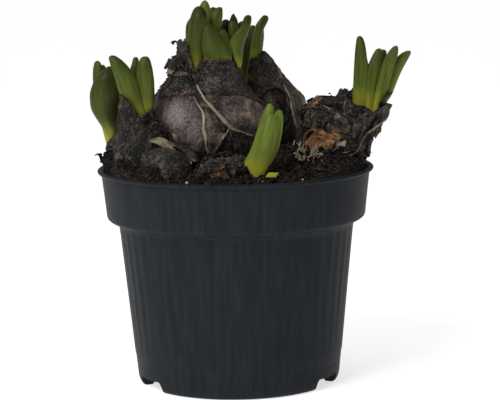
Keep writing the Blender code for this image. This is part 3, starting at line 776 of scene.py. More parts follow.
    def build(self, finish: Material) -> None:
        """Models the pot and hands it over."""
        pot = self.turn_wall()
        self.press_flutes(pot)
        drains = [Vector((0, 0, 4))]
        for angle in self.slot_angles:
            self.cut(pot, self.add_slot(angle))
            turn = math.radians(angle)
            x, y = self.drain_circle * math.sin(turn), -self.drain_circle * math.cos(turn)
            drains.append(Vector((x, y, 4)))
        for place in drains:
            self.cut(pot, self.add_drain(place))
        choose(pot)
        bpy.ops.object.shade_smooth_by_angle(angle=math.radians(40))
        hand_over(pot, Slot.POT, finish, ["pot"])


# The peat


@dataclass
class PeatFill:
    """The peat in the pot, with loose crumbs, fibres, and grains of perlite on it.

    A heap is (x, y, radius, height) in millimetres. crown is how far the middle of the surface stands
    above its edge, and side_heap how far its left and right sides do.
    """

    edge_radius: float = 56.6
    wall_radius: float = 57.0
    edge_height: float = 93.8
    crown: float = 6.3
    side_heap: float = 4.2
    heaps: tuple[Four, ...] = (
        (-33, -34, 15, 4.5), (-22, -46, 10, 2.2), (-50, -20, 11, 2.5), (-47, -30, 10, 1.8), (-8, -48, 8, 1.2),
        (30, -38, 16, 1.8), (44, -24, 12, 2.2),
    )
    crumbs: int = 1500
    bits: int = 260
    fibres: int = 230
    heap_crumbs: int = 260
    seed: int = 11

    def height(self, x: float, y: float) -> float:
        """The height of the peat's surface at a place."""
        radius = math.hypot(x, y)
        inward = smooth(self.wall_radius, 35.9, radius)
        calm = smooth(self.wall_radius, 53.6, radius)
        front = smooth(-10, -40, y)
        middle = self.crown * inward * (1 - 0.95 * front)
        sides = self.side_heap * smooth(0.72, 0.98, abs(x) / max(radius, 1)) * calm * (1 - 0.6 * inward)
        heaped = max(h * smooth(1, 0, math.hypot(x - a, y - b) / r) for a, b, r, h in self.heaps)
        grain = 0.9 * calm * bumps(Vector((x, y, 0)), 5.5)
        return self.edge_height + middle + sides + heaped * calm + grain

    def surface(self, x: float, y: float) -> float:
        """The height with its fine crumbs."""
        place = Vector((x, y, 0))
        calm = mix(0.3, 1.0, smooth(self.wall_radius, 53.0, math.hypot(x, y)))
        return self.height(x, y) + calm * (1.3 * bumps(place, 2.6, 3) + ridges(place, 3.4) - 0.7)

    def add_body(self) -> Piece:
        """The peat as one closed form that fills the pot."""
        low, ledge, wall_end = 4.9, 71.0, 0.26
        low_radius, ledge_radius = 41.6, 49.4
        wall = [(0.0, low), (0.10, low), (0.13, 8.0), (0.2, ledge), (0.22, 75.5), (wall_end, 92.4)]

        def rule(angle: float, share: float) -> Marked:
            """The underside and the wall below the share wall_end, and the surface above it."""
            turn = math.radians(angle)
            if share <= wall_end:
                height = through(wall, share)
                radius = min(share / 0.10, 1) * mix(low_radius, ledge_radius, (height - low) / (ledge - low))
                if height > ledge:
                    radius = mix(ledge_radius, self.edge_radius, smooth(ledge, ledge + 5, height))
                return Vector((radius * math.cos(turn), radius * math.sin(turn), height)), ()
            radius = self.edge_radius * (1 - ((share - wall_end) / (1 - wall_end)) ** 1.1)
            x, y = radius * math.cos(turn), radius * math.sin(turn)
            return Vector((x, y, self.surface(x, y))), ()

        return add_ball("peat_fill", 340, 210, rule)

    def scatter(self, draw: random.Random, reach: float) -> Vector:
        """A random place on the surface, in most cases far from the middle."""
        radius = reach * math.sqrt(draw.uniform(0.12, 1))
        turn = draw.uniform(0, 2 * math.pi)
        x, y = radius * math.cos(turn), radius * math.sin(turn)
        return Vector((x, y, self.surface(x, y)))

    def add_left_heap(self) -> Piece:
        """The loose crumbs that are piled over the lip at the left, below the outer tuft."""
        draw = random.Random(self.seed + 2)
        places = [Vector(p) for p in (
            (-55.8, -6, 100.8), (-56.5, -7, 99.2), (-57.0, -9, 97.6), (-53.6, -5, 101.8), (-54.1, -5, 103.6),
            (-56.2, -7, 98.4), (-55.2, -6, 102.2), (-57.3, -8, 98.9),
        )]
        for _ in range(self.heap_crumbs):
            way = Vector((draw.gauss(0, 1), draw.gauss(0, 1), abs(draw.gauss(0, 1)))).normalized()
            places.append(Vector((-52.9 + 3.9 * way.x, -6 + 10 * way.y, 96.2 + 5.2 * way.z)))
        return add_crumbs("peat_left_heap", places, (1.0, 2.9), draw)

    def add_fibres(self) -> Piece:
        """Short brown fibres that lie and stick up in the peat."""
        draw = random.Random(self.seed + 1)
        pieces = []
        for number in range(self.fibres):
            start = self.scatter(draw, 50.0)
            heading = draw.uniform(0, 2 * math.pi)
            length = draw.uniform(2.5, 8.0)
            step = Vector((math.cos(heading), math.sin(heading), draw.uniform(-0.1, 0.45))) * length / 3
            points = [start]
            for _ in range(3):
                bend = Vector((draw.uniform(-1, 1), draw.uniform(-1, 1), draw.uniform(-0.9, 0.3)))
                step = step + bend * 0.7
                points.append(points[-1] + step)
            thread = Thread(f"fibre_{number}", points, [draw.uniform(0.1, 0.22), 0.08], sides=5, rings=8)
            pieces.append(thread.add())
        return join(pieces, "peat_fibres")

    def build(self, peat: Material, bark: Material, perlite: Material) -> None:
        """Models the peat and what lies on it, and hands all of it over."""
        hand_over(self.add_body(), Slot.PEAT, peat, ["soil"])
        hand_over(self.add_left_heap(), Slot.PEAT, peat)
        for name, count, sizes, reach, finish in (
            ("peat_crumbs", self.crumbs, (0.6, 3.2), 56.2, peat),
            ("bark_bits", self.bits, (0.4, 1.5), 55.6, bark),
            ("perlite_grains", 10, (0.6, 1.2), 54.0, perlite),
        ):
            draw = random.Random(f"{self.seed} {name}")
            places = [self.scatter(draw, reach) for _ in range(count)]
            if finish is perlite:
                places += [Vector(p) for p in ((-20, -54, 94.4), (-18.3, -36, 100.3), (27.7, -50, 94.4))]
            hand_over(add_crumbs(name, places, sizes, draw), Slot.PEAT, finish)
        hand_over(self.add_fibres(), Slot.PEAT, bark)


@dataclass
class Thread:
    """A thin tapering thread, such as a root, a fibre or the rolled edge of a tunic.

    Points are in millimetres, and radii are spread evenly along them.
    """

    name: str
    points: list[Vector]
    radii: list[float]
    sides: int = 10
    rings: int = 40
    marks: tuple[float, ...] = ()
    knobbly: float = 0.0

    def add(self, layers: Sequence[str] = ()) -> Piece:
        """The thread as a closed form."""
        sizes = [(i / (len(self.radii) - 1), radius) for i, radius in enumerate(self.radii)]

        def spot(share: float) -> Vector:
            """The middle of the thread at a share of its length."""
            return Vector(place_on(self.points, min(1.0, max(0.0, share))))

        def rule(angle: float, share: float) -> Marked:
            """A ring of the thread. The rings crowd at its ends, which are round."""
            t = smooth(0, 1, share) * 0.5 + share * 0.5
            direction = (spot(t + 0.01) - spot(t - 0.01)).normalized()
            side = direction.cross(Vector((0.31, -0.92, 0.24))).normalized()
            other = direction.cross(side)
            turn = math.radians(angle)
            radius = through(sizes, t) * math.sqrt(max(0.0, 1 - (2 * share - 1) ** 16))
            radius *= 1 + self.knobbly * bumps(spot(t), 2.4)
            return spot(t) + (side * math.cos(turn) + other * math.sin(turn)) * radius, self.marks

        return add_ball(self.name, self.sides, self.rings, rule, layers, (4.0, 30.0))


# The bulbs

# The share of a lobe's form that is its outside. The rest is the inside of its neck.
OUTSIDE = 0.86
# How far from the pot's axis a bulb may reach, up to a height, and how much further for each
# millimetre above that height
LIP_ROOM = 56.0
LIP_HEIGHT = 95.2
LIP_SLOPE = 1.15
# The lowest and the highest amount of each look that a small scrap may have, besides none
SHINGLE_LOOKS = ((0.0, 0.2), (0.0, 0.35), (0.0, 0.2), (0.3, 0.8))


def patch_amount(row: Patch, angle: float, share: float) -> float:
    """How much a patch on a bulb's skin gives at a place.

    Args:
        row: The patch's angle and share, how far it reaches round and up, and its amount.
        angle: The place's angle in degrees.
        share: The place's share of the way up.

    Returns:
        The amount in its middle, and less towards its edge.
    """
    middle, height, reach_round, reach_up, amount = row
    round_off = (angle - middle + 180) % 360 - 180
    distance = math.hypot(round_off / reach_round, (share - height) / reach_up)
    return amount * smooth(1.3, 0.2, distance)


@dataclass
class Lobe:
    """One swollen body of a bulb, turned about a line that leans from its root plate to its neck.

    profile is (share of the way up, radius), and rim is (angle round the neck, how far the papery edge
    stands up there). The angle is 0 on the right and 270 at the front. mouth is how deep the neck is
    open, crumple how deep the sharp creases in the skin are, vein how deep the upright ones are, and
    peel how thick the torn outer layer is. spots are patches of each look, and of relief in millimetres.
    """

    root: Triple
    neck: Triple
    profile: list[Pair]
    lean: Triple = (0.0, 0.0, 0.0)
    rim: list[Pair] = field(default_factory=lambda: [(0.0, 0.0), (360.0, 0.0)])
    wrinkle: float = 0.45
    wrinkle_size: float = 7.0
    mouth: float = 5.0
    crumple: float = 0.0
    crumple_size: float = 4.0
    vein: float = 0.15
    peel: float = 0.3
    peel_size: float = 11.0
    segments: int = 150
    rings: int = 120
    spots: dict[str, list[Patch]] = field(default_factory=dict)

    def axis(self, share: float) -> tuple[Vector, Vector]:
        """The middle of the lobe at a share of the way up, and the direction there."""
        start, end = Vector(self.root), Vector(self.neck)
        middle = (start + end) / 2 + Vector(self.lean)
        point = start * (1 - share) ** 2 + middle * 2 * share * (1 - share) + end * share**2
        return point, ((middle - start) * (1 - share) + (end - middle) * share).normalized()

    def shape(self, angle: float, share: float) -> tuple[Vector, Vector, Vector]:
        """The smooth form: a place on it, the way out of it there, and how far its edge stands up."""
        centre, direction = self.axis(share)
        side = direction.cross(Vector((0, 1, 0))).normalized()
        turn = math.radians(angle)
        outward = -side * math.cos(turn) - direction.cross(side) * math.sin(turn)
        rise = through(self.rim, angle % 360) * smooth(0.78, 1.0, share)
        radius = through(self.profile, share) - 0.35 * max(0.0, rise)
        return centre + outward * radius, outward, direction * rise

    def amounts(self, mark: str, angle: float, share: float) -> list[float]:
        """How much each patch of one look gives at a place."""
        return [patch_amount(row, angle, share) for row in self.spots.get(mark, ())]

    def layer(self, spot: Vector) -> float:
        """1 where the torn outer layer is still there, and 0 where it has come off."""
        key = Vector((spot.x, spot.y, spot.z * 0.6))
        return smooth(-0.05, 0.05, bumps(key, self.peel_size, 4) + 0.05)

    def skin(self, angle: float, share: float, lift: float = 0.0) -> Vector:
        """A place on the outside of the lobe.

        Args:
            angle: The angle round it in degrees.
            share: The share of the way up.
            lift: How far above the skin, in millimetres.

        Returns:
            The place in millimetres, held in by the pot's wall.
        """
        spot, outward, rise = self.shape(angle, share)
        relief = bumps(spot, self.wrinkle_size) * self.wrinkle + self.peel * self.layer(spot)
        relief += sum(self.amounts("relief", angle, share))
        if self.crumple:
            relief += self.crumple * (ridges(spot, self.crumple_size) - 0.4)
            relief += 0.4 * self.crumple * ridges(spot + Vector((31, 7, 3)), self.crumple_size * 0.45)
        upright = Vector((spot.x, spot.y, spot.z * 0.22))
        relief += self.vein * (ridges(upright, 2.1) - 0.5) + 0.5 * self.vein * noise.noise(upright / 0.8)
        point = spot + outward * (relief + lift) + rise
        reach = math.hypot(point.x, point.y)
        room = LIP_ROOM + max(0.0, point.z - LIP_HEIGHT) * LIP_SLOPE
        if reach > room:
            point = Vector((point.x * room / reach, point.y * room / reach, point.z))
        return point

    def inside(self, angle: float, share: float) -> Vector:
        """A place on the inside of the open neck, from its edge at share 0 to its middle at 1."""
        edge = self.skin(angle, 1.0)
        centre, direction = self.axis(1.0)
        depth = self.mouth * math.sin(share * math.pi / 2)
        spread = math.cos(share * math.pi / 2) ** 0.35
        flat = edge - centre
        height = flat.dot(direction)
        flat -= direction * height
        inset = max(0.0, 1 - 1.0 / max(flat.length, 1.0) * smooth(0.0, 0.2, share))
        return centre + flat * spread * inset + direction * (mix(height, 0, smooth(0.3, 1, share)) - depth)

    def marks(self, angle: float, share: float) -> tuple[float, ...]:
        """How much of each look shows at a place."""
        looks = [max(self.amounts(mark, angle, share), default=0.0) for mark in TUNIC_MARKS]
        looks[-1] = self.layer(self.shape(angle, share)[0]) if self.peel else 1.0
        return tuple(looks)

    def add(self, name: str) -> Piece:
        """The lobe as a closed form with an open-looking neck."""

        def rule(angle: float, share: float) -> Marked:
            """The outside first, and the inside of the neck above the share OUTSIDE."""
            if share <= OUTSIDE:
                return self.skin(angle, share / OUTSIDE), self.marks(angle, share / OUTSIDE)
            # The inside of the neck gets the dark look at 0.8, which is painted shade in the open neck.
            return self.inside(angle, (share - OUTSIDE) / (1 - OUTSIDE)), (0.0, 0.0, 0.0, 0.8, 1.0)

        radius = max(r for _, r in self.profile)
        height = (Vector(self.neck) - Vector(self.root)).length / OUTSIDE
        return add_ball(name, self.segments, self.rings, rule, TUNIC_MARKS, (2 * math.pi * radius, height))


@dataclass
class Scrap:
    """Something dry that lies or sticks on a bulb, on the lobe with the number lobe."""

    lobe: int = field(default=0, kw_only=True)

    def add(self, name: str, host: Lobe) -> Piece:
        """The scrap as a closed form on its host."""
        raise NotImplementedError


@dataclass(kw_only=True)
class Sheet(Scrap):
    """A torn sheet of dry tunic.

    rag is how deep its end is torn, roll how far its side edges turn up and wave how much it buckles,
    all in millimetres. marks are its looks without the peel, rim is how pale its edges are, fade is
    the share of its length where its looks set in, mesh is its faces across and along, and span is
    its size across and along for its patterns.
    """

    rag: float = 1.2
    roll: float = 0.4
    wave: float = 0.5
    marks: Four = (0.0, 0.0, 0.0, 0.0)
    rim: float = 0.4
    fade: float = 0.0
    thickness: float = 0.35
    mesh: tuple[int, int] = (26, 26)
    span: Pair = (12.0, 14.0)

    def place(self, host: Lobe, across: float, along: float, lift: float) -> Vector:
        """A point of the whole sheet, lifted off it, before it is torn and buckled."""
        raise NotImplementedError

    def add(self, name: str, host: Lobe) -> Piece:
        """The sheet as a thin closed form."""
        key = Vector((sum(ord(c) for c in name) % 97, len(name), 5.3))

        def rule(across: float, along: float) -> Marked:
            """A point of the sheet, torn along its end and a little along its sides."""
            tear = noise.noise(Vector((across * 7, 0, 0)) + key)
            tear += 0.5 * noise.noise(Vector((across * 19, 3, 0)) + key)
            reach = min(1.06, along * (1 + 0.05 * self.rag * tear * smooth(0.4, 1, along)))
            out = 2 * across - 1
            nick = 0.035 * self.rag * noise.noise(Vector((out, along * 9, 0)) + key) * abs(out) ** 3
            side = across + nick
            lift = self.roll * abs(out) ** 5
            spot = self.place(host, side, reach, lift)
            spot = self.place(host, side, reach, lift + self.wave * bumps(spot + key, 4.0))
            edge = max(smooth(0.88, 1.0, abs(out)), smooth(0.93, 1.0, along))
            edge *= smooth(-0.2, 0.3, noise.noise(spot / 2.3 + key))
            looks = [mark * smooth(0, self.fade or 1e-6, along) for mark in self.marks]
            looks[2] = max(looks[2], self.rim * edge)
            return spot, (*looks, 1.0)

        sheet = add_grid(name, *self.mesh, rule, TUNIC_MARKS, self.span)
        apply_modifier(sheet, "SOLIDIFY", thickness=self.thickness * MM, offset=0.0)
        face_outwards(sheet)
        return sheet


@dataclass
class Flap(Sheet):
    """A sheet that lies on a lobe between two borders.

    The borders are places on the lobe, (angle, share), from the sheet's start to its torn end. lift is
    how far it stands off the skin at its start and at its end.
    """

    left: list[Pair]
    right: list[Pair]
    lift: Pair = field(default=(0.3, 0.6), kw_only=True)

    def place(self, host: Lobe, across: float, along: float, lift: float) -> Vector:
        """A point between the two borders, on the skin or above it."""
        left, right = place_on(self.left, along), place_on(self.right, along)
        angle, share = mix(left[0], right[0], across), mix(left[1], right[1], across)
        return host.skin(angle, min(share, 1.12), max(0.1, mix(*self.lift, along) + lift))


@dataclass
class Husk(Sheet):
    """A sheet that stands free.

    Its lines are rows of points in millimetres, from its start to its torn end.
    """

    lines: list[list[Triple]]

    def place(self, host: Lobe, across: float, along: float, lift: float) -> Vector:
        """A point between the lines. It is lifted towards the front and upwards."""
        spots = [place_on(line, across) for line in self.lines]
        return Vector(place_on(spots, along)) + Vector((0, -0.8, 0.6)) * lift


@dataclass
class RolledEdge(Scrap):
    """The dried, rolled edge of a tunic.

    Its places are (angle, share) on the lobe, or three numbers in millimetres.
    """

    places: list[tuple[float, ...]]
    radii: list[float]
    lift: float = 0.5
    marks: Four = (0.0, 0.0, 1.0, 0.0)

    def add(self, name: str, host: Lobe) -> Piece:
        """The thread as a closed form on its host."""
        points = [host.skin(*p, self.lift) if len(p) == 2 else Vector(p) for p in self.places]
        thread = Thread(name, points, self.radii, 10, 12 * len(points), (*self.marks, 1.0), 0.25)
        return thread.add(TUNIC_MARKS)


@dataclass
class Crust(Scrap):
    """Crumbs of dead tunic and peat that stick to a lobe and break its outline."""

    angles: Pair
    shares: Pair
    count: int
    sizes: Pair = (0.5, 1.6)
    marks: Four = (0.0, 0.0, 0.0, 0.5)

    def add(self, name: str, host: Lobe) -> Piece:
        """The crumbs as one form."""
        draw = random.Random(name)
        places = []
        for _ in range(self.count):
            angle, share = draw.uniform(*self.angles), draw.uniform(*self.shares)
            places.append(host.skin(angle, share, 0.1))
        return add_crumbs(name, places, self.sizes, draw, TUNIC_MARKS, (*self.marks, 1.0))


@dataclass
class Bulb:
    """A bulb: one lobe or more, and what is on them.

    A zone of shingles is (the lobe's number, its angles, its shares of the way up, how many, their size).
    """

    name: str
    node: str
    lobes: list[Lobe]
    shingles: list[Zone]
    scraps: list[Scrap]

    def small_scraps(self, lobe: int, angles: Pair, shares: Pair, count: int, size: float) -> list[Scrap]:
        """Small overlapping dark scraps of tunic in a zone of a lobe.

        Args:
            lobe: The lobe's number.
            angles: Where the zone starts and ends round the lobe.
            shares: Its lowest and highest share of the way up.
            count: How many scraps there are.
            size: How large they are, where 1 is two to five millimetres.

        Returns:
            The scraps.
        """
        draw = random.Random(f"{self.name} {angles} {count}")
        flaps = []
        for _ in range(count):
            angle = draw.uniform(*angles)
            top = draw.uniform(*shares)
            width = draw.uniform(8, 22) * size
            drop = draw.uniform(0.04, 0.1) * size
            slant = draw.uniform(-0.04, 0.04)
            left, right = angle - width / 2, angle + width / 2
            flaps.append(Flap(
                [(left, top), (left - draw.uniform(-3, 3), top - drop)],
                [(right, top + slant), (right - draw.uniform(-3, 3), top - drop + slant)],
                lift=(0.1, draw.uniform(0.5, 1.5)),
                rag=draw.uniform(3, 7),
                wave=0.8,
                marks=tuple(draw.choice((0.0, low, high)) for low, high in SHINGLE_LOOKS),
                rim=draw.choice((0.0, 0.15, 0.45)),
                mesh=(14, 10),
                lobe=lobe,
            ))
        return flaps

    def build(self, finish: Material) -> None:
        """Models the bulb and hands it over as its body and its scraps."""
        bodies = [lobe.add(f"{self.name}_lobe_{i}") for i, lobe in enumerate(self.lobes)]
        hand_over(join(bodies, self.name), Slot.TUNIC, finish, [self.node])
        scraps = [*self.scraps, *(scrap for zone in self.shingles for scrap in self.small_scraps(*zone))]
        added = []
        for number, scrap in enumerate(scraps):
            added.append(scrap.add(f"{self.name}_scrap_{number}", self.lobes[scrap.lobe]))
        hand_over(join(added, self.name + "_scraps"), Slot.TUNIC, finish)


# The largest bulb: smooth and mauve on the left, with torn brown sheets on its right and neck.
CENTRE_LOBE = Lobe(
    root=(-12.5, 9, 84), neck=(-12.3, 6.8, 140.5),
    profile=[
        (0, 9), (0.1, 16), (0.22, 20.5), (0.36, 23.2), (0.5, 23.7), (0.63, 23), (0.73, 21.2), (0.82, 18.2),
        (0.9, 16.2), (1, 15.2),
    ],
    rim=[
        (0, -3.6), (45, -1), (90, 0.5), (135, 1), (180, 0.8), (205, 1), (218, 2.4), (232, 2.6), (240, 1.4),
        (245, 0.4), (250, -2), (254.6, -4.4), (258, -1.2), (262, 1.2), (275, 1.3), (290, 1.2), (310, 0.8),
        (325, -0.1), (337, -1.2), (346, -2.4), (360, -3.6),
    ],
    wrinkle=0.5, peel=0.22, peel_size=16, segments=230, rings=190,
    spots={
        "relief": [
            (200, 0.9, 60, 0.16, -1), (206, 0.6, 26, 0.3, -0.7), (262, 0.3, 60, 0.12, -0.8),
            (340, 0.8, 40, 0.1, -2), (348, 0.56, 36, 0.15, 2.6),
        ],
        "mauve": [
            (242, 0.58, 38, 0.27, 0.74), (236, 0.61, 26, 0.19, 0.98), (256, 0.5, 18, 0.22, 0.82),
            (150, 0.55, 50, 0.25, 0.5), (278, 0.9, 26, 0.12, 0.2),
        ],
        # Dark patches, mostly painted shade: in the collar's creases, low at the front near the peat, and
        # beside the rolled edges and sheets.
        "soot": [
            (225, 0.88, 38, 0.09, 0.85), (204, 0.44, 24, 0.1, 0.6), (250, 0.31, 50, 0.05, 0.7),
            (287, 0.42, 7, 0.07, 1), (268, 0.83, 7, 0.1, 0.4),
        ],
    },
)
CENTRE_BULB = Bulb("centre_bulb", "bulb_centre", [CENTRE_LOBE], shingles=[
    (0, (186, 250), (0.93, 1.01), 16, 1), (0, (190, 252), (0.8, 0.9), 14, 1),
    (0, (80, 176), (0.62, 0.95), 14, 1), (0, (30, 80), (0.55, 0.9), 8, 1),
], scraps=[
    Flap([(258, 0.8), (275, 0.78), (296, 0.765), (316, 0.755), (334, 0.705), (350, 0.64)],
         [(258, 0.96), (275, 0.97), (296, 0.97), (316, 0.955), (334, 0.91), (352, 0.84)], lift=(0.3, 0.7),
         rag=0.8, roll=0.7, wave=0.35, marks=(0.16, 0, 0.06, 0), rim=0.1, span=(9, 40), mesh=(30, 70)),
    Flap([(268, 0.76), (279, 0.665), (294, 0.54), (318, 0.46), (344, 0.41)],
         [(274, 0.785), (296, 0.77), (318, 0.75), (338, 0.69), (358, 0.6)], lift=(0.15, 0.25), rag=0.5,
         roll=0.1, wave=0.15, marks=(0.38, 0, 0.34, 0), rim=0, fade=0.45, span=(12, 40), mesh=(34, 60)),
    Flap([(309, 0.625), (313, 0.6), (315, 0.575)], [(327, 0.62), (327, 0.595), (325, 0.57)], lift=(0.4, 0.4),
         rag=3, roll=0, wave=0.1, marks=(0.2, 0.42, 0.42, 0), rim=0, thickness=0.2),
    Flap([(259, 0.77), (264, 0.69), (268, 0.62), (268, 0.54), (271, 0.49)],
         [(261, 0.84), (269, 0.74), (277, 0.675), (286, 0.59), (291, 0.5)], lift=(0.3, 0.45), wave=0.25,
         marks=(0.16, 0, 0.27, 0), rim=0.2, span=(8, 22), mesh=(30, 60)),
    Flap([(271, 0.5), (272, 0.43), (273, 0.375), (272, 0.32)],
         [(291, 0.485), (286, 0.42), (281, 0.36), (279, 0.32)], lift=(0.3, 0.7), marks=(0.25, 0.2, 0.36, 0),
         rim=0.2),
    Flap([(294, 0.5), (297, 0.43), (300, 0.36), (302, 0.3)],
         [(328, 0.44), (326, 0.39), (323, 0.33), (320, 0.28)], lift=(0.5, 1.3), rag=3, wave=0.7,
         marks=(0.25, 0.12, 0.22, 0), rim=0.35, mesh=(40, 26)),
    Flap([(184, 0.885), (199, 0.83), (212, 0.775)], [(258, 0.885), (256, 0.86), (250, 0.815)],
         lift=(0.3, 1.3), rag=4, wave=0.9, marks=(0, 0, 0.05, 0.65), rim=0.3, mesh=(60, 30)),
    Flap([(184, 0.915), (200, 0.925), (222, 0.9), (246, 0.915)],
         [(184, 0.89), (200, 0.895), (222, 0.878), (249, 0.9)], lift=(1.2, 1.5), rag=2, roll=0.5, wave=0.7,
         marks=(0.1, 0.1, 0.4, 0), rim=0.5, span=(3, 26), mesh=(14, 60)),
    Flap([(175, 0.99), (178, 0.96), (182, 0.925)], [(238, 1), (236, 0.965), (232, 0.93)], lift=(1, 2.3),
         rag=6, wave=1.1, marks=(0, 0, 0, 0.85), rim=0.25, mesh=(60, 30)),
    Flap([(214, 0.785), (216, 0.77), (220, 0.75)], [(256, 0.845), (254, 0.82), (250, 0.79)], lift=(0.4, 0.9),
         rag=4, marks=(0.45, 0.1, 0.2, 0), rim=0.35, mesh=(40, 12)),
    Husk([
        [(-24.6, -0.5, 138.6), (-22.4, -4.2, 138), (-17.8, -7, 137.8)],
        [(-24.5, 0, 142.4), (-22.4, -3.2, 142.2), (-18.6, -5.4, 141.8)],
        [(-24.3, 0.3, 145.8), (-22.3, -2.4, 146), (-19.6, -4.2, 145.8)],
        [(-24.6, 0.6, 148.4), (-22.2, -1.6, 149.4), (-20.2, -2.8, 149)],
    ], rag=3, wave=0.7, marks=(0.2, 0.05, 0.12, 0.25), thickness=0.6, mesh=(34, 44)),
    RolledEdge([(-24, 0.2, 148.3), (-25.3, 0.3, 148.7), (-26.5, 0.5, 147.8)], [0.4, 0.5, 0.95], 0,
               (0, 0, 0.1, 0.6)),
    RolledEdge([
        (256, 0.87), (260, 0.83), (263, 0.8), (270, 0.735), (276, 0.69), (282, 0.64), (288, 0.585),
        (293, 0.54), (299, 0.505), (308, 0.48), (318, 0.45), (330, 0.425), (342, 0.41),
    ], [0.2, 0.44, 0.5, 0.62, 0.78, 0.84, 0.74, 0.58, 0.46, 0.34, 0.22], 0.8, (0, 0.05, 0.95, 0)),
    RolledEdge([
        (256, 0.76), (262, 0.7), (267, 0.65), (268.5, 0.6), (268, 0.545), (268.5, 0.5), (270, 0.45),
        (270, 0.41), (271, 0.37), (272.5, 0.32),
    ], [0.16, 0.3, 0.52, 0.7, 0.78, 0.7, 0.52, 0.42, 0.26], 0.6, (0, 0, 0.92, 0)),
    RolledEdge([(294, 0.52), (291, 0.48), (287, 0.44), (284.5, 0.395), (280, 0.35)], [0.25, 0.3, 0.24, 0.3],
               0.7),
    RolledEdge([(272, 0.493), (276, 0.486), (282, 0.486), (291, 0.475)], [0.12, 0.16, 0.16, 0.1], 0.3,
               (0.3, 0, 0.45, 0)),
    RolledEdge([(236, 0.785), (244, 0.8), (252, 0.815), (259, 0.815), (264, 0.79)], [0.08, 0.16, 0.16, 0.08],
               0.6, (0.3, 0, 0.5, 0)),
    Crust((166, 256), (0.8, 1), 90),
    Crust((188, 280), (0.26, 0.36), 60, (0.5, 1.8)),
    Crust((60, 166), (0.5, 1), 60),
])

# The dark bulb behind, with a smooth grey right side and a tan line down it.
BACK_LOBE = Lobe(
    root=(13, 38, 86), neck=(8.8, 32, 139.5),
    profile=[
        (0, 8), (0.12, 14.5), (0.27, 19), (0.42, 20.6), (0.58, 20.4), (0.7, 17.8), (0.8, 14.2), (0.9, 10.2),
        (1, 5.8),
    ],
    rim=[(0, 1.5), (60, 1), (180, -0.5), (270, 0), (360, 1.5)], crumple=0.3, crumple_size=6, peel=0.35,
    mouth=3,
    spots={
        "relief": [(352, 0.78, 34, 0.16, -1.9)],
        "ochre": [(302, 0.675, 7, 0.035, 0.65)],
        # Dark patches, mostly painted shade: low on the front and right, and under the curled sheet and the
        # rolled edge.
        "soot": [
            (338, 0.34, 34, 0.14, 0.85), (280, 0.62, 22, 0.08, 0.3), (290, 0.4, 34, 0.2, 0.7),
            (303, 0.62, 7, 0.3, 0.5),
        ],
        "mauve": [(90, 0.5, 60, 0.22, 0.5)],
    },
)
BACK_BULB = Bulb("back_bulb", "bulb_back", [BACK_LOBE], shingles=[
    (0, (200, 300), (0.6, 0.98), 12, 1), (0, (40, 200), (0.5, 0.95), 16, 1),
], scraps=[
    Flap([(266, 0.68), (280, 0.74), (291, 0.77), (304, 0.76), (311, 0.72), (314, 0.65)],
         [(266, 0.86), (280, 0.93), (294, 0.96), (308, 0.93), (320, 0.85), (328, 0.76)], lift=(0.5, 0.9),
         rag=1.5, roll=0.8, wave=0.6, marks=(0.2, 0, 0.14, 0.05), rim=0.2, span=(12, 24), mesh=(40, 50)),
    Flap([(338, 0.9), (328, 0.82), (322, 0.76), (319, 0.7), (317, 0.63), (315, 0.56)],
         [(352, 0.92), (360, 0.84), (364, 0.76), (364, 0.68), (360, 0.59), (356, 0.5)], lift=(0.3, 0.4),
         rag=2.5, roll=0.1, wave=0.3, marks=(0.2, 0.1, 0.42, 0), rim=0.3, span=(8, 30), mesh=(40, 60)),
    RolledEdge([
        (325, 0.79), (320, 0.73), (317, 0.66), (314, 0.59), (314, 0.49), (320, 0.38), (326, 0.3),
        (338, 0.22),
    ], [0.2, 0.3, 0.34, 0.36, 0.4, 0.42, 0.4, 0.24], 0.9, (0, 0.3, 0.7, 0)),
    RolledEdge([(321, 0.76), (315, 0.7), (312, 0.64), (313, 0.56)], [0.12, 0.24, 0.24, 0.12], 0.6,
               (0, 0.3, 0.3, 0)),
    Crust((230, 330), (0.5, 1), 40, (0.4, 1.1)),
    Crust((40, 230), (0.4, 1), 50),
])

# The small dark bulb on the left, with a second nose, a chip of tan tunic and a streaked hump.
LEFT_MAIN = Lobe(
    root=(-33, -7, 76), neck=(-43, -7.8, 121),
    profile=[
        (0, 7), (0.14, 12.5), (0.3, 16.4), (0.44, 16.6), (0.58, 14.6), (0.7, 11.8), (0.84, 8.8), (1, 7),
    ],
    rim=[
        (0, -8), (50, -4.5), (90, -1), (150, 4), (180, 6.8), (206, 7.5), (224, 6.5), (242, 5), (254, 3.8),
        (266, 1.5), (278, -1), (290, -3.9), (302, -4.2), (314, -4.2), (326, -5), (338, -6.5), (350, -8),
        (360, -8),
    ],
    wrinkle=0.6, crumple=0.3, crumple_size=5, peel_size=10,
    spots={
        "soot": [(250, 0.85, 60, 0.25, 0.62), (250, 0.5, 90, 0.4, 0.88), (300, 0.62, 22, 0.05, 0.9)],
        "pale": [(230, 0.836, 7, 0.02, 0.4), (203, 0.73, 8, 0.06, 0.35)],
    },
)
LEFT_NOSE = Lobe(
    root=(-43, -1, 90), neck=(-52.2, -0.4, 105.4), profile=[(0, 4), (0.3, 5.8), (0.7, 4.8), (1, 3.6)],
    rim=[(0, 2.2), (180, -0.6), (360, 2.2)], wrinkle=0.3, crumple=0.5, crumple_size=3, mouth=2, segments=90,
    rings=70, spots={"soot": [(180, 0.7, 200, 0.5, 0.7)]},
)
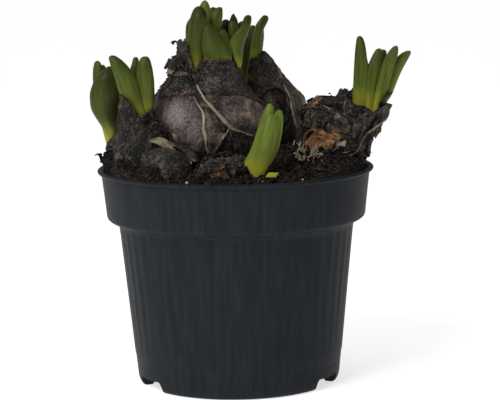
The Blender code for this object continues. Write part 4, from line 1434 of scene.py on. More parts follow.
LEFT_BULB = Bulb("left_bulb", "bulb_left", [LEFT_MAIN, LEFT_NOSE], shingles=[
    (0, (300, 350), (0.78, 1.02), 12, 1), (0, (20, 200), (0.5, 0.98), 16, 1),
    (1, (120, 300), (0.5, 1.02), 10, 1),
], scraps=[
    Flap([(286, 0.705), (297, 0.712), (307, 0.703), (317, 0.65), (329, 0.596)],
         [(286, 0.7), (294, 0.672), (303, 0.618), (310, 0.585), (320, 0.56)], lift=(1.4, 1.9), rag=1.6,
         roll=0.8, wave=0.6, marks=(0, 0.5, 0.8, 0), rim=0.95),
    Husk(
        [
            [(-37.5, -15, 97), (-39, -20, 102.4), (-39.5, -25, 101.4), (-39, -30, 95)],
            [(-29.5, -16, 99), (-31.5, -21.5, 105), (-34, -28.5, 103.4), (-36, -35, 94.5)],
            [(-23, -19, 98.6), (-26, -25, 104.6), (-30, -33, 102.6), (-33, -40, 94)],
            [(-18, -25, 97), (-21, -31, 101.8), (-25.4, -37.6, 100), (-29, -43.5, 93)],
            [(-15.5, -31, 90), (-18, -36, 93), (-22, -41.6, 92), (-25.5, -47, 90)],
        ],
        rag=0.4, wave=0.6, marks=(0.04, 0, 0.16, 0.32), rim=0.15, thickness=0.6, span=(26, 24),
        mesh=(44, 44),
    ),
    Husk([
        [(-21.7, -17, 105.6), (-23.4, -20.6, 106.6), (-25.6, -20.4, 106), (-26.8, -18, 104.6)],
        [(-19.8, -19, 105), (-21.4, -22.8, 105.8), (-23.6, -22.8, 105), (-24.6, -20, 103.8)],
        [(-16.6, -24, 102.6), (-18.2, -26.6, 103.4), (-20.4, -26.6, 102.6), (-21.6, -24, 101.4)],
        [(-15.4, -29, 99.4), (-16.8, -30.6, 100), (-19, -30.2, 99.4), (-20, -28, 98.6)],
    ], rag=3, marks=(0.1, 0.18, 0.2, 0.25), rim=0.5, thickness=0.5),
    Husk([
        [(-26.8, -16, 110.6), (-25.9, -17.6, 110.8), (-25.1, -17, 110.2)],
        [(-25.8, -17.6, 108.8), (-24.9, -19, 109), (-24, -17.6, 108.2)],
        [(-25.6, -18.6, 106.9), (-24.4, -20, 107.2), (-23.4, -18.6, 106.4)],
    ], rag=2, wave=0.3, roll=0.2, marks=(0, 0.45, 0.3, 0), rim=0.6, thickness=0.4, mesh=(16, 20)),
    Husk([
        [(-39.8, -12.2, 117), (-37, -11.8, 119.6), (-34, -9, 120.6)],
        [(-38.4, -12.8, 114.4), (-35.8, -12.4, 116), (-33.2, -9.6, 116.6)],
        [(-37, -12.8, 111.4), (-34.6, -12.4, 112.2), (-32.4, -10.4, 112)],
    ], rag=4, wave=0.9, marks=(0, 0, 0.05, 0.7), rim=0.3, thickness=0.5, mesh=(30, 26)),
    Husk([
        [(-56.2, -3, 100.8), (-53, -6.2, 100.6), (-50, -7.2, 101.2)],
        [(-55.8, -3, 104.2), (-53, -5.6, 104.6), (-50, -6.6, 105)],
        [(-54.6, -2.6, 106.4), (-51.6, -4.8, 109.4), (-48.6, -5.8, 112)],
    ], rag=3, wave=0.9, marks=(0, 0.05, 0.05, 0.5), rim=0.3, thickness=0.6, mesh=(30, 26), lobe=1),
    RolledEdge([(289, 0.7), (297, 0.658), (307, 0.594), (318, 0.548)], [0.3, 0.5, 0.5, 0.3], 1,
               (0, 0.1, 0.1, 0.7)),
    RolledEdge([(312, 0.8), (312.5, 0.76), (313, 0.72)], [0.12, 0.22, 0.12], 0.5, (0.3, 0, 0.35, 0)),
    Flap([(200, 0.66), (196, 0.6), (192, 0.53)], [(232, 0.64), (233, 0.57), (230, 0.5)], lift=(0.2, 0.9),
         rag=4, rim=0.3),
    Crust((170, 330), (0.35, 0.75), 80, (0.4, 1.2), (0, 0, 0, 0.3)),
    Crust((0, 170), (0.4, 0.95), 50),
    Crust((285, 345), (0.86, 1.02), 36, (0.6, 1.8), (0, 0, 0, 0.8)),
    Crust((100, 330), (0.5, 1.02), 80, (0.7, 2.8), (0, 0, 0, 0.6), lobe=1),
])

# The crumpled papery bulb on the right, which leans out over the lip.
RIGHT_MAIN = Lobe(
    root=(39, 3, 86), neck=(57.6, 2.4, 119.5),
    profile=[(0, 9), (0.2, 13.4), (0.4, 13.6), (0.6, 12), (0.8, 10.2), (1, 10.6)],
    rim=[
        (0, 4.4), (20, 3.6), (40, 3), (90, 1), (150, 0.8), (200, 0.2), (218, -0.6), (242, -1.2), (256, -0.1),
        (272, 0), (284, -0.2), (296, 2.5), (308, 4.8), (320, 5.6), (340, 5.4), (360, 4.4),
    ],
    wrinkle=1.4, wrinkle_size=6, crumple=0.7, crumple_size=5.5, vein=0.3, peel=0.5, peel_size=7,
    segments=180, rings=140,
    spots={
        "relief": [(350, 0.62, 60, 0.36, -2.6), (226, 0.42, 22, 0.14, -2.2), (262, 0.62, 16, 0.1, -1.2)],
        "ochre": [(210, 0.4, 22, 0.14, 0.7)],
        # Dark patches, mostly painted shade: in the dents, under the flaps, and in the band under the leaves
        # at the neck.
        "soot": [
            (205, 0.62, 14, 0.07, 0.9), (262, 0.62, 14, 0.1, 0.6), (320, 0.8, 40, 0.3, 0.5),
            (250, 0.97, 30, 0.05, 0.95),
        ],
        "pale": [(262, 0.42, 22, 0.08, 0.2)],
    },
)
RIGHT_SHOULDER = Lobe(
    root=(37.5, 4, 88), neck=(41, 4, 122), profile=[(0, 6), (0.3, 10.5), (0.6, 11.4), (0.85, 9.6), (1, 5.6)],
    wrinkle=1.3, wrinkle_size=5, crumple=0.8, crumple_size=5, rim=[(0, 1.4), (360, 1.4)], vein=0.3, peel=0.5,
    peel_size=7, mouth=3, segments=140, rings=110,
    spots={
        "relief": [(232, 0.58, 22, 0.12, -2)],
        # Dark patches, mostly painted shade: in the dent at the front and under the flaps.
        "soot": [(232, 0.58, 28, 0.16, 0.95), (262, 0.8, 30, 0.04, 0.8), (190, 0.5, 30, 0.3, 0.6)],
        "ochre": [(214, 0.97, 12, 0.04, 0.5)],
        "pale": [(285, 0.93, 26, 0.05, 0.3)],
    },
)
RIGHT_BULB = Bulb("right_bulb", "bulb_right", [RIGHT_MAIN, RIGHT_SHOULDER], shingles=[
    (0, (240, 340), (0.6, 0.98), 20, 1.5), (0, (0, 190), (0.5, 1), 22, 1.3),
    (1, (190, 330), (0.62, 1), 26, 1.6), (1, (20, 190), (0.55, 1), 12, 1),
], scraps=[
    Flap([(247, 0.68), (250, 0.6), (256, 0.53), (268, 0.46)],
         [(268, 0.81), (284, 0.74), (290, 0.64), (284, 0.49)], lift=(0.6, 0.8), rag=2.5, wave=0.9,
         marks=(0.1, 0, 0.05, 0.25), rim=0.35, mesh=(30, 34)),
    Flap([(203, 0.73), (220, 0.775), (238, 0.78), (254, 0.735)],
         [(202, 0.66), (221, 0.635), (238, 0.605), (257, 0.65)], lift=(2.6, 1.6), rag=1.5, roll=0.7,
         wave=0.4, marks=(0.2, 0, 0.34, 0), rim=0.6, span=(7, 14), mesh=(30, 40)),
    Flap([(198, 0.69), (214, 0.65), (232, 0.61)], [(197, 0.62), (212, 0.59), (230, 0.57)], lift=(2, 1.3),
         rag=3, wave=0.6, marks=(0, 0.75, 0.15, 0), mesh=(16, 30)),
    Flap([(190, 0.28), (190, 0.36), (194, 0.45), (207, 0.54)],
         [(217, 0.26), (228, 0.34), (229, 0.44), (226, 0.53)], lift=(0.8, 1), rag=2, roll=0.8, wave=0.6,
         marks=(0, 0.8, 0.3, 0), rim=0.6, mesh=(34, 40)),
    Flap([(210, 0.32), (213, 0.41), (219, 0.5)], [(222, 0.29), (231, 0.38), (233, 0.47)], lift=(1.7, 1.9),
         rag=3, roll=0.7, wave=0.7, marks=(0, 1.3, 0.2, 0), rim=0.5, mesh=(22, 26)),
    Flap([(236, 0.36), (240, 0.45), (247, 0.54)], [(250, 0.35), (255, 0.43), (258, 0.5)], lift=(0.9, 1.3),
         rag=3, roll=0.5, wave=0.9, marks=(0, 0.3, 0.3, 0), rim=0.5, mesh=(22, 26)),
    Flap([(224, 0.58), (238, 0.6), (252, 0.58)], [(226, 0.53), (240, 0.52), (250, 0.53)], lift=(0.8, 1.4),
         rag=4, roll=0.5, wave=0.9, marks=(0, 0.5, 0.2, 0), rim=0.5, mesh=(20, 24)),
    Flap([(251, 0.47), (260, 0.562)], [(266, 0.5), (262, 0.562)], lift=(1.3, 1.6), rag=1.5, roll=0.3,
         wave=0.3, marks=(0, 0.25, 0.95, 0), rim=0.9, mesh=(14, 14)),
    Flap([(257, 0.36), (262, 0.405), (272, 0.46), (277, 0.5)],
         [(261, 0.335), (268, 0.37), (277, 0.42), (281, 0.47)], lift=(0.8, 1.8), rag=2, roll=1.1,
         marks=(0.1, 0.35, 0.1, 0.1), rim=0.8, mesh=(20, 30)),
    Flap([(300, 0.99), (314, 1), (328, 1)], [(300, 0.9), (314, 0.89), (328, 0.9)], lift=(0.6, 1.2), rag=3,
         roll=0.6, wave=0.7, marks=(0, 0.1, 0.1, 0.4), mesh=(24, 30)),
    RolledEdge([
        (39.3, -14, 99.6), (43.6, -15, 99.2), (47.5, -14.6, 99), (50.5, -13, 100), (52.7, -12.1, 101.6),
        (54.1, -11.6, 104.2), (55.4, -11, 106.7), (57.2, -10, 108.7), (59.5, -8.7, 110.2),
        (62.6, -6.9, 112.1), (66, -4.6, 113.9),
    ], [0.2, 0.38, 0.38, 0.32, 0.28, 0.26, 0.32, 0.38, 0.34, 0.2], 0, (0, 0.15, 0.5, 0)),
    RolledEdge([(266, 0.9), (269, 0.92), (272, 0.94)], [0.4, 0.75, 0.4], 1.2, (0, 0.25, 0.25, 0)),
    Husk([
        [(57.4, -6, 97.4), (58.2, -3, 97.7), (57.8, 3, 98), (56.4, 8, 98)],
        [(57, -7, 101.6), (58.4, -4, 101.4), (58.4, 3, 101.8), (56.6, 8, 102)],
        [(58, -7, 105.4), (59.6, -3.5, 105.4), (59.6, 3, 105.8), (57.6, 8, 106)],
        [(59.2, -6.6, 109.2), (60.6, -3, 109), (60.8, 4, 109.6), (58.8, 9, 110)],
        [(60.8, -6, 112.8), (63, -2.5, 113.4), (63.6, 4, 114.2), (61, 9, 114)],
        [(62, -5.4, 116.6), (64.4, -2, 117), (64.8, 4, 117.4), (62, 9, 118)],
        [(62.4, -5, 120), (64.6, -1, 120.4), (65, 4, 121), (63, 8, 122)],
        [(65, -4.4, 123.2), (67.6, -0.4, 124), (68, 4, 124), (65, 7, 124)],
    ], rag=2, wave=0.8, marks=(0, 0.05, 0.05, 0.45), rim=0.35, thickness=0.7, mesh=(36, 60)),
    Husk([
        [(44, 3, 120), (47, 2, 120.5), (50, 3, 120), (53, 4, 119)],
        [(43.6, 4, 122), (46.6, 4.5, 123.6), (50, 5, 123), (52.6, 5, 122)],
        [(44.6, 6, 123.4), (47, 6.4, 126.6), (50.2, 6.4, 125.2), (52.4, 6, 126.6)],
    ], rag=4.5, wave=0.6, marks=(0.1, 0.05, 0.15, 0.3), thickness=0.5, mesh=(30, 20)),
    Flap([(236, 0.93), (252, 0.925), (267, 0.905), (285, 0.88), (302, 0.865)],
         [(238, 0.89), (254, 0.885), (270, 0.86), (286, 0.845), (300, 0.835)], lift=(0.8, 1.1), rag=3,
         roll=0.9, wave=0.7, marks=(0.15, 0.1, 0.25, 0), rim=0.6, mesh=(16, 44), lobe=1),
    Flap([(206, 0.99), (222, 1), (240, 0.99)], [(204, 0.92), (222, 0.92), (242, 0.93)], lift=(0.8, 1.3),
         rag=4, roll=0.6, wave=0.8, marks=(0, 0.45, 0.3, 0), rim=0.5, mesh=(20, 30), lobe=1),
    RolledEdge([
        (29.5, -5.5, 102.2), (30, -5.5, 105.8), (30.9, -6, 108.3), (33.1, -7.5, 110.2), (36.1, -8.6, 110.1),
        (37.8, -8.8, 111.5), (38.3, -8.6, 114),
    ], [0.3, 0.5, 0.62, 0.6, 0.55, 0.5, 0.35], 0, (0, 0.45, 0.15, 0.1), lobe=1),
    Flap([(238, 0.36), (231, 0.46), (240, 0.57), (254, 0.66)],
         [(262, 0.35), (277, 0.43), (281, 0.52), (279, 0.6)], lift=(1, 1.3), rag=1.5, roll=0.9,
         marks=(0, 0.8, 0.25, 0), rim=0.7, mesh=(40, 44), lobe=1),
    Flap([(252, 0.39), (250, 0.48), (256, 0.57)], [(272, 0.37), (281, 0.45), (283, 0.54)], lift=(2, 2.3),
         rag=2.5, roll=0.8, marks=(0, 1.1, 0.35, 0), rim=0.6, mesh=(30, 34), lobe=1),
    Crust((0, 360), (0.7, 1.02), 60, (0.4, 1.3), (0, 0, 0, 0.3), lobe=1),
    Crust((190, 380), (0.35, 1.05), 60, (0.4, 1.2), (0, 0, 0, 0.4)),
    Crust((20, 190), (0.4, 1.05), 60),
])

# The small bulb at the front, which lies mostly in the peat.
FRONT_LOBE = Lobe(
    root=(-18, -30, 90), neck=(10.5, -35.4, 93.6),
    profile=[(0, 3.5), (0.2, 8.4), (0.42, 10.4), (0.65, 9.2), (0.85, 7.2), (1, 6.2)], lean=(0, 0, 1.5),
    wrinkle=0.8, wrinkle_size=5, crumple=0.8, vein=0.3, peel=0.5, peel_size=6, segments=120, rings=110,
    spots={
        "relief": [(225, 0.92, 60, 0.2, -3.4)],
        "ochre": [(247, 0.47, 20, 0.16, 0.5)],
        "pale": [(225, 0.5, 20, 0.34, 0.42), (246, 0.66, 10, 0.05, 0.25)],
        "soot": [(190, 0.4, 34, 0.5, 0.35)],
    },
)
FRONT_BULB = Bulb("front_bulb", "bulb_front", [FRONT_LOBE], shingles=[
    (0, (200, 275), (0.25, 0.95), 14, 1),
], scraps=[
    Flap([(196, 0.12), (187, 0.3), (180, 0.46), (172, 0.62)],
         [(212, 0.14), (205, 0.3), (199, 0.46), (194, 0.62)], lift=(0.4, 1), rag=3, roll=0.7,
         marks=(0.1, 0, 0, 0.85), rim=0.3, mesh=(24, 50)),
    Flap([(214, 0.2), (220, 0.4), (216, 0.58), (212, 0.78)],
         [(236, 0.22), (240, 0.36), (236, 0.52), (234, 0.7)], lift=(0.3, 0.8), rag=3, wave=0.6,
         marks=(0.08, 0.15, 0.2, 0), mesh=(24, 40)),
    RolledEdge([(196, 0.14), (190, 0.3), (184, 0.46), (177, 0.6)], [0.2, 0.4, 0.4, 0.2], 0.9,
               (0.1, 0, 0.1, 0.4)),
    Crust((150, 290), (0.1, 1), 120, (0.5, 2), (0, 0.1, 0, 0.4)),
])


# The leaves


@dataclass
class Leaf:
    """One thick channelled leaf.

    Its rows are (height, middle, width) in millimetres from its foot to its tip, and depth is how far
    back its foot and its tip are. turn is the way its rounded back looks, in degrees from +X towards
    +Y, and curl how far its sides close in at its foot and at its tip. tone is its mark for the finish.
    round_tip is the length of its rounded tip, and extra is added to every width.
    """

    depth: Pair
    rows: list[Triple]
    turn: float = 270
    curl: Pair = (58, 44)
    hood: float = 0.8
    tone: float = 0.15
    pale_edge: float = 0.96
    thickness: float = 1.9
    blushes: list[Patch] = field(default_factory=list)
    round_tip: float = 0.9
    extra: float = 0.6
    columns: int = 14
    rings: int = 34

    def add(self, name: str, yellow_height: float) -> Piece:
        """The leaf as a closed form.

        Args:
            name: The piece's name.
            yellow_height: The height where the leaf is yellowest, as it comes out of its bulb.

        Returns:
            The leaf.
        """
        places = [Vector((x, 0, z)) for z, x, _ in self.rows]
        lengths = [0]
        for low, high in zip(places, places[1:]):
            lengths.append(lengths[-1] + (high - low).length)
        total = lengths[-1]
        knots = [(done / total, *row) for done, row in zip(lengths, self.rows)]
        low, high = self.rows[0][0], self.rows[-1][0]
        facing = math.radians(self.turn)
        back = Vector((math.cos(facing), math.sin(facing), 0))
        side = Vector((-back.y, back.x, 0))
        spread = max(0.45, abs(side.x))
        key = Vector((low, high, total))

        def rule(across: float, along: float) -> Marked:
            """A point of the leaf's rounded back."""
            along = 1 - (1 - along) ** 1.25
            z, x, width = (through(knots, along, column) for column in (1, 2, 3))
            tip = (1 - along) * total / self.round_tip
            width = max(0.1, (width + self.extra) / spread * math.sqrt(1 - (1 - min(1, tip)) ** 2))
            curl = math.radians(mix(*self.curl, along))
            radius = width / 2 / math.sin(curl)
            part = 2 * across - 1
            y = mix(*self.depth, (z - low) / (high - low))
            middle = Vector((x, y, z))
            bulge = radius * (math.cos(part * curl) - math.cos(curl))
            bend = -self.hood * smooth(0.78, 1, along) ** 2
            ripple = 0.12 * noise.noise(Vector((part * 2.2, along * 5, 0)) + key)
            point = middle + side * radius * math.sin(part * curl) + back * (bulge + bend + ripple)
            rise = (z - yellow_height) / (high - yellow_height)
            blush = 0
            for u, v, reach_u, reach_v, amount in self.blushes:
                away = math.hypot((part - u) / reach_u, (along - v) / reach_v)
                blush = max(blush, amount * smooth(1.3, 0.4, away))
            return point, (max(0, rise), abs(part) * self.pale_edge, self.tone, blush)

        size = max(row[2] for row in self.rows)
        leaf = add_grid(name, self.columns, self.rings, rule, LEAF_MARKS, (size * 1.2, total))
        normal = leaf.data.polygons[self.columns * self.rings // 3].normal
        if normal.dot(back) < 0:
            with editing(leaf):
                bpy.ops.mesh.flip_normals()
        body = leaf.vertex_groups.new(name="body")
        for vert, mark in zip(leaf.data.vertices, leaf.data.attributes["edge"].data):
            body.add([vert.index], 1 - 0.8 * smooth(0.35, 1, mark.value / self.pale_edge), "REPLACE")
        apply_modifier(
            leaf, "SOLIDIFY", thickness=self.thickness * MM, offset=-1, vertex_group="body",
            thickness_vertex_group=0.12,
        )
        face_outwards(leaf)
        apply_modifier(leaf, "SUBSURF", levels=1, render_levels=1)
        leaf.vertex_groups.clear()
        return leaf


@dataclass
class Tuft:
    """The leaves of one shoot."""

    name: str
    node: str
    yellow_height: float
    leaves: list[Leaf]

    def build(self, finish: Material) -> None:
        """Models the leaves and hands them over as one piece."""
        grown = [leaf.add(f"{self.name}_{i}", self.yellow_height) for i, leaf in enumerate(self.leaves)]
        hand_over(join(grown, self.name), Slot.LEAF, finish, [self.node])


# The tuft of the middle bulb, from its left to its right and then its back.
CENTRE_LEAVES = Tuft("centre_leaves", "leaves_centre", 136.5, [
    Leaf((-2, -2.6), [
        (133, -16.4, 5.4), (138.6, -16.3, 5.4), (145, -16.6, 5.6), (150.2, -16.4, 6.3), (155.7, -15.3, 7.3),
        (159.1, -14.6, 7), (161.2, -14.5, 5.8), (162.5, -14.7, 4.2), (164, -14.8, 1.4),
    ], turn=262, curl=(60, 62), hood=1.6, tone=0.56, blushes=[(0.62, 0.9, 0.3, 0.06, 0.75)]),
    Leaf((1, 0.6),
         [(138, -19, 2.6), (144.9, -19.7, 3), (147, -20.1, 2.9), (149.2, -20.3, 2.3), (150.4, -20.4, 1)],
         turn=225, tone=0),
    Leaf((5.2, 4.2), [
        (136, -11.7, 3.4), (148.7, -11.8, 4.4), (158.2, -11.9, 5.2), (161.7, -12.1, 4.9), (163.4, -12.1, 4),
        (164.7, -12, 2.8), (166.1, -11.9, 1),
    ], turn=275, tone=-0.6),
    Leaf((2.8, 4.6), [
        (136, -8.2, 3.4), (148.8, -8, 4.2), (155.2, -8, 5.9), (157.7, -7.9, 6.3), (159.7, -7.3, 5.5),
        (161.1, -6.7, 4.3), (162.2, -6.1, 2.9), (163.1, -5.5, 1),
    ], turn=265, hood=0.4, tone=0.1),
    Leaf((13.4, 13.2),
         [(136, -9.2, 3.4), (148.1, -8.8, 3.6), (159.4, -8.5, 3.4), (161.6, -8.5, 2.6), (162.6, -8.5, 1.2)],
         tone=0.7),
    Leaf((-0.2, -3), [
        (134, -6.9, 11), (140.4, -7, 12.3), (144.4, -7.6, 13), (147, -8.2, 12.6), (149.6, -9.1, 11),
        (152.2, -10, 8.7), (154.8, -11.1, 5.2), (156.1, -11.3, 2.9), (157.3, -11.1, 0.9),
    ], curl=(52, 50), tone=0.42, columns=20),
    Leaf((0.2, -0.2),
         [(136, -3.5, 4.2), (148.1, -3.9, 4.6), (151.1, -4.3, 3.5), (152.8, -4.3, 2.2), (153.7, -4.3, 0.9)],
         tone=0.25),
    Leaf((12, 11.2),
         [(136, -3.1, 2.6), (148.1, -2.7, 2.8), (154.6, -2.9, 3.3), (156.2, -3.1, 2.9), (157.3, -3.1, 1.5)],
         tone=0.65),
    Leaf((9.6, 9.4), [
        (136, 0.2, 3.2), (148.2, 0.4, 3.7), (155.1, 0.2, 3.9), (157.3, 0.3, 2.7), (158.6, 0.4, 1.4),
        (159.7, 0.5, 0.3),
    ], turn=290, tone=0.6),
    Leaf((4, 3.6), [
        (136, 0.2, 3.2), (146.9, 0.4, 4.3), (151.6, 0.6, 4.9), (154.2, 0.3, 4.1), (155.9, 0, 2.6),
        (157.1, 0, 1),
    ], tone=0.3),
    Leaf((10.6, 13.2), [
        (136, 1.8, 2.6), (146.3, 3, 3.4), (151.4, 4.5, 4.2), (154.8, 5.7, 4), (156.6, 6.4, 3.3),
        (157.8, 6.8, 2.8), (158.9, 7.1, 1.5),
    ], turn=300, tone=0.2),
    Leaf((11.6, 11.6),
         [(136, 1.6, 2.4), (148, 2.5, 2.7), (153.6, 3.4, 2.9), (155.4, 3.8, 2.3), (156.4, 4.3, 0.9)],
         tone=0.55),
    Leaf((1.2, -1), [
        (136.6, 2.3, 1), (138.2, 2.2, 1.9), (140.2, 2.2, 2.9), (143.2, 1.6, 4.4), (145.8, 1.1, 5.5),
        (148.4, 1.6, 5.9), (151, 3.1, 5.6), (153.1, 4.5, 4.6), (154.8, 5.5, 3.1), (156.1, 6.4, 1.1),
    ], turn=285, curl=(55, 50), tone=0.12),
    Leaf((11, 14.2), [(136, -15.4, 5), (148, -17.2, 6.4), (154, -17.8, 5.2), (157, -18, 3), (158.4, -18, 1)],
         turn=125, tone=0.25),
    Leaf((14.2, 18),
         [(136, -10, 6.4), (146, -9.8, 7.2), (151, -9.6, 5.8), (153.6, -9.6, 3.2), (154.8, -9.6, 1)],
         turn=90, tone=0.25),
    Leaf((12.6, 16.2),
         [(136, -5, 4.6), (145, -2.6, 5.4), (149.4, -0.4, 4.4), (151.6, 0.6, 2.4), (152.6, 0.8, 0.9)],
         turn=55, tone=0.3),
])

# The tufts of the other bulbs, and the folded leaf between the middle bulb and the back one.
BACK_LEAVES = Tuft("back_leaves", "leaves_back", 136.5, [
    Leaf((31, 31.2), [
        (134, 9.6, 4), (142.1, 10.1, 4.5), (146.5, 10.5, 4), (150.1, 11.3, 3.8), (152.7, 12.2, 4.2),
        (154.9, 13.5, 4), (156.4, 14.4, 2.9), (157.6, 14.6, 1.3),
    ], turn=290, tone=0.2),
    Leaf((32.6, 35.8), [(134, 7.8, 3.6), (144, 6, 4.2), (149, 4.8, 3.4), (151.4, 4, 2), (152.4, 3.8, 0.8)],
         turn=130, tone=0.3),
    Leaf((33.4, 37),
         [(134, 9.6, 3.6), (145, 11.2, 4.2), (150, 12, 3.2), (152.2, 12.2, 1.8), (153.2, 12.2, 0.8)],
         turn=60, tone=0.3),
])

FOLDED_LEAF = Tuft("folded_leaf", "leaf_side", 122, [
    Leaf((13.5, 22.6), [
        (123.4, 5, 0.7), (125.4, 4.8, 0.9), (129.8, 4.8, 1.5), (133.3, 4.5, 2.5), (136.8, 4.6, 3.4),
        (140.3, 5, 3.8), (143.8, 5.6, 3.9), (147.2, 6.4, 3.5), (150.7, 7.7, 3.3), (152.9, 8.6, 2.7),
        (153.8, 8.8, 1.3),
    ], turn=90, curl=(84, 66), hood=-0.6, tone=0.5, thickness=0.9),
])

LEFT_OUTER_LEAVES = Tuft("left_outer_leaves", "leaves_left_outer", 104.5, [
    Leaf(
        (-0.8, -2.4),
        [
            (106, -53.8, 1.8), (108.3, -53.3, 4.8), (110.9, -53.2, 7), (115.3, -54.8, 9.2),
            (119.7, -55.8, 12), (123.4, -55.7, 13.3), (126.8, -55.6, 13.4), (130.2, -55.4, 11.8),
            (133.2, -55.2, 9.3), (135.8, -54.8, 6.2), (137.5, -54.2, 3.5), (138.8, -53.6, 1.1),
        ],
        turn=262, curl=(50, 56), hood=1.4, tone=0.55, columns=20,
        blushes=[(0.5, 0.34, 0.5, 0.34, 0.75), (0.35, 0.68, 0.3, 0.3, 0.4)],
    ),
    Leaf((0.8, 5), [
        (104, -54.6, 2.2), (119.4, -57.5, 3.6), (129.8, -59, 4), (134.1, -59.2, 3.9), (137.5, -59.3, 3.4),
        (139.6, -59.4, 2.4), (140.7, -59.4, 1.1),
    ], turn=250, tone=0.1),
    Leaf((1.4, 6.4),
         [(104, -54.6, 2), (127.9, -56.6, 2.9), (135.2, -57, 2.8), (137.8, -57.1, 2.1), (139, -57.1, 1)],
         turn=100),
])

LEFT_INNER_LEAVES = Tuft("left_inner_leaves", "leaves_left_inner", 116, [
    Leaf((-8.4, -11.6), [
        (112, -39, 3), (115.9, -39.2, 3), (119, -40.4, 3.6), (122.5, -42.1, 5.4), (126, -44.2, 8),
        (129.5, -45.3, 8.7), (133.4, -46.3, 8.4), (136.8, -47.5, 7.9), (139.4, -48.8, 7.1),
        (141.6, -50.2, 5.5), (143.1, -51.4, 3.7), (144.2, -52, 1.3),
    ], turn=262, curl=(46, 56), hood=1.4, tone=0.2, columns=18),
    Leaf((-6, -4.4), [
        (112, -39.4, 3), (128.5, -41.5, 4), (137.1, -42.5, 3.8), (139.9, -42.2, 2.8), (141.8, -42.1, 2),
        (142.8, -42.1, 1.1),
    ]),
    Leaf((-7.6, -8.4), [
        (112, -38.6, 2.6), (115.4, -38.4, 2.8), (118, -38, 3.6), (120.6, -37.5, 5.2), (124, -37.6, 6.6),
        (128.3, -37.9, 7.2), (133, -38.1, 7.4), (137.3, -38.1, 6.4), (140.3, -38, 5), (142.2, -37.9, 3.5),
        (143.3, -37.8, 1.8),
    ], turn=276, curl=(56, 60), hood=1, tone=0.02, columns=18, blushes=[(0.75, 0.3, 0.3, 0.25, 0.4)]),
    Leaf((-6.4, -2.6),
         [(112, -39.6, 3.4), (124, -38, 5.2), (132, -37, 4.8), (136, -36.6, 3), (137.8, -36.4, 1)], turn=75,
         tone=0.2),
])

RIGHT_LEAVES = Tuft("right_leaves", "leaves_right", 118, [
    Leaf((0.4, 0.8), [
        (114, 54.4, 5.4), (122.8, 54.6, 6.2), (129.8, 54.8, 5.9), (136.7, 55, 5.5), (142.7, 55, 4.6),
        (146.5, 54.9, 3.5), (148.7, 54.7, 2.3), (149.8, 54.6, 1.2),
    ], turn=265, tone=0.22),
    Leaf((-0.6, 1.8), [
        (113, 58.2, 3.4), (124.1, 58.8, 4.4), (129.7, 59.4, 4.8), (134.4, 60.2, 5.3), (137.8, 61.1, 4.7),
        (140.8, 62, 3.7), (142.9, 62.7, 2.6), (144.2, 63.1, 1.3),
    ], turn=265),
    Leaf((4.6, 8),
         [(113, 61.2, 4.4), (130, 63.8, 4), (139.4, 65, 3.2), (142.2, 65.2, 2.5), (143.4, 65.2, 1.3)],
         turn=90, tone=0.2),
    Leaf((-0.6, -0.6), [
        (113, 61.2, 3.6), (123.7, 63.2, 4.5), (128.8, 64.5, 4.9), (133.6, 65.8, 5.1), (137.4, 67, 5.2),
        (140.4, 68.2, 4.9), (142.5, 69, 4.1), (144.2, 69.8, 2.6), (145.4, 70.3, 1.1),
    ], turn=274, tone=-0.15, blushes=[(0.3, 0.35, 0.6, 0.3, 0.3)]),
    Leaf((1.6, 3.8), [
        (113, 61.4, 3.4), (116.5, 62.6, 3.6), (119.9, 63.9, 3.9), (123.4, 66, 4.5), (127.6, 67.8, 4.5),
        (131.9, 69.6, 4.5), (135.3, 71.1, 4.8), (138.3, 72.6, 5.3), (140.2, 73.8, 5.2), (141.7, 75.2, 4),
        (142.8, 76.3, 1.6),
    ], turn=290, tone=-0.2),
    Leaf((5.2, 10.4), [(113, 57, 5), (126, 56.8, 6), (135, 56.4, 5.2), (139.4, 56.4, 3.2), (141, 56.4, 1)],
         turn=100, tone=0.25),
])

FRONT_LEAVES = Tuft("front_leaves", "leaves_front", 98, [
    Leaf((-36.2, -34), [
        (94, 6.4, 3), (96.6, 5.6, 4.8), (99, 5.8, 5.2), (102.3, 7.5, 5), (107.3, 10, 5.2), (113.1, 11.8, 5),
        (118.1, 13.4, 4.8), (121.4, 14.4, 4), (123.5, 14.6, 2.4), (124.8, 14.7, 0.9),
    ], turn=255, curl=(50, 60), tone=-0.9),
    Leaf((-38.8, -38), [
        (93.5, 9.4, 4.5), (96, 9.3, 5.8), (98.6, 9.2, 8), (101.4, 9.8, 9.4), (106.5, 11.6, 9.5),
        (111.7, 13.4, 8.9), (115.5, 14.7, 7.6), (118.2, 15.3, 5.6), (119.9, 15.2, 3.4), (121, 15.2, 1.2),
    ], curl=(42, 48), hood=0.3, tone=-0.9, columns=20),
    Leaf((-36, -35.6), [
        (92, 9.8, 2.4), (94.9, 10.8, 2.4), (97.8, 12.1, 2.9), (101.2, 14, 3.6), (105.3, 15.8, 4.1),
        (110.3, 17.2, 3.9), (115.3, 18, 3.9), (119.1, 18.4, 3.7), (121.1, 18.6, 2.6), (122.2, 18.9, 1.1),
    ], turn=288, curl=(60, 60), tone=-0.9),
])


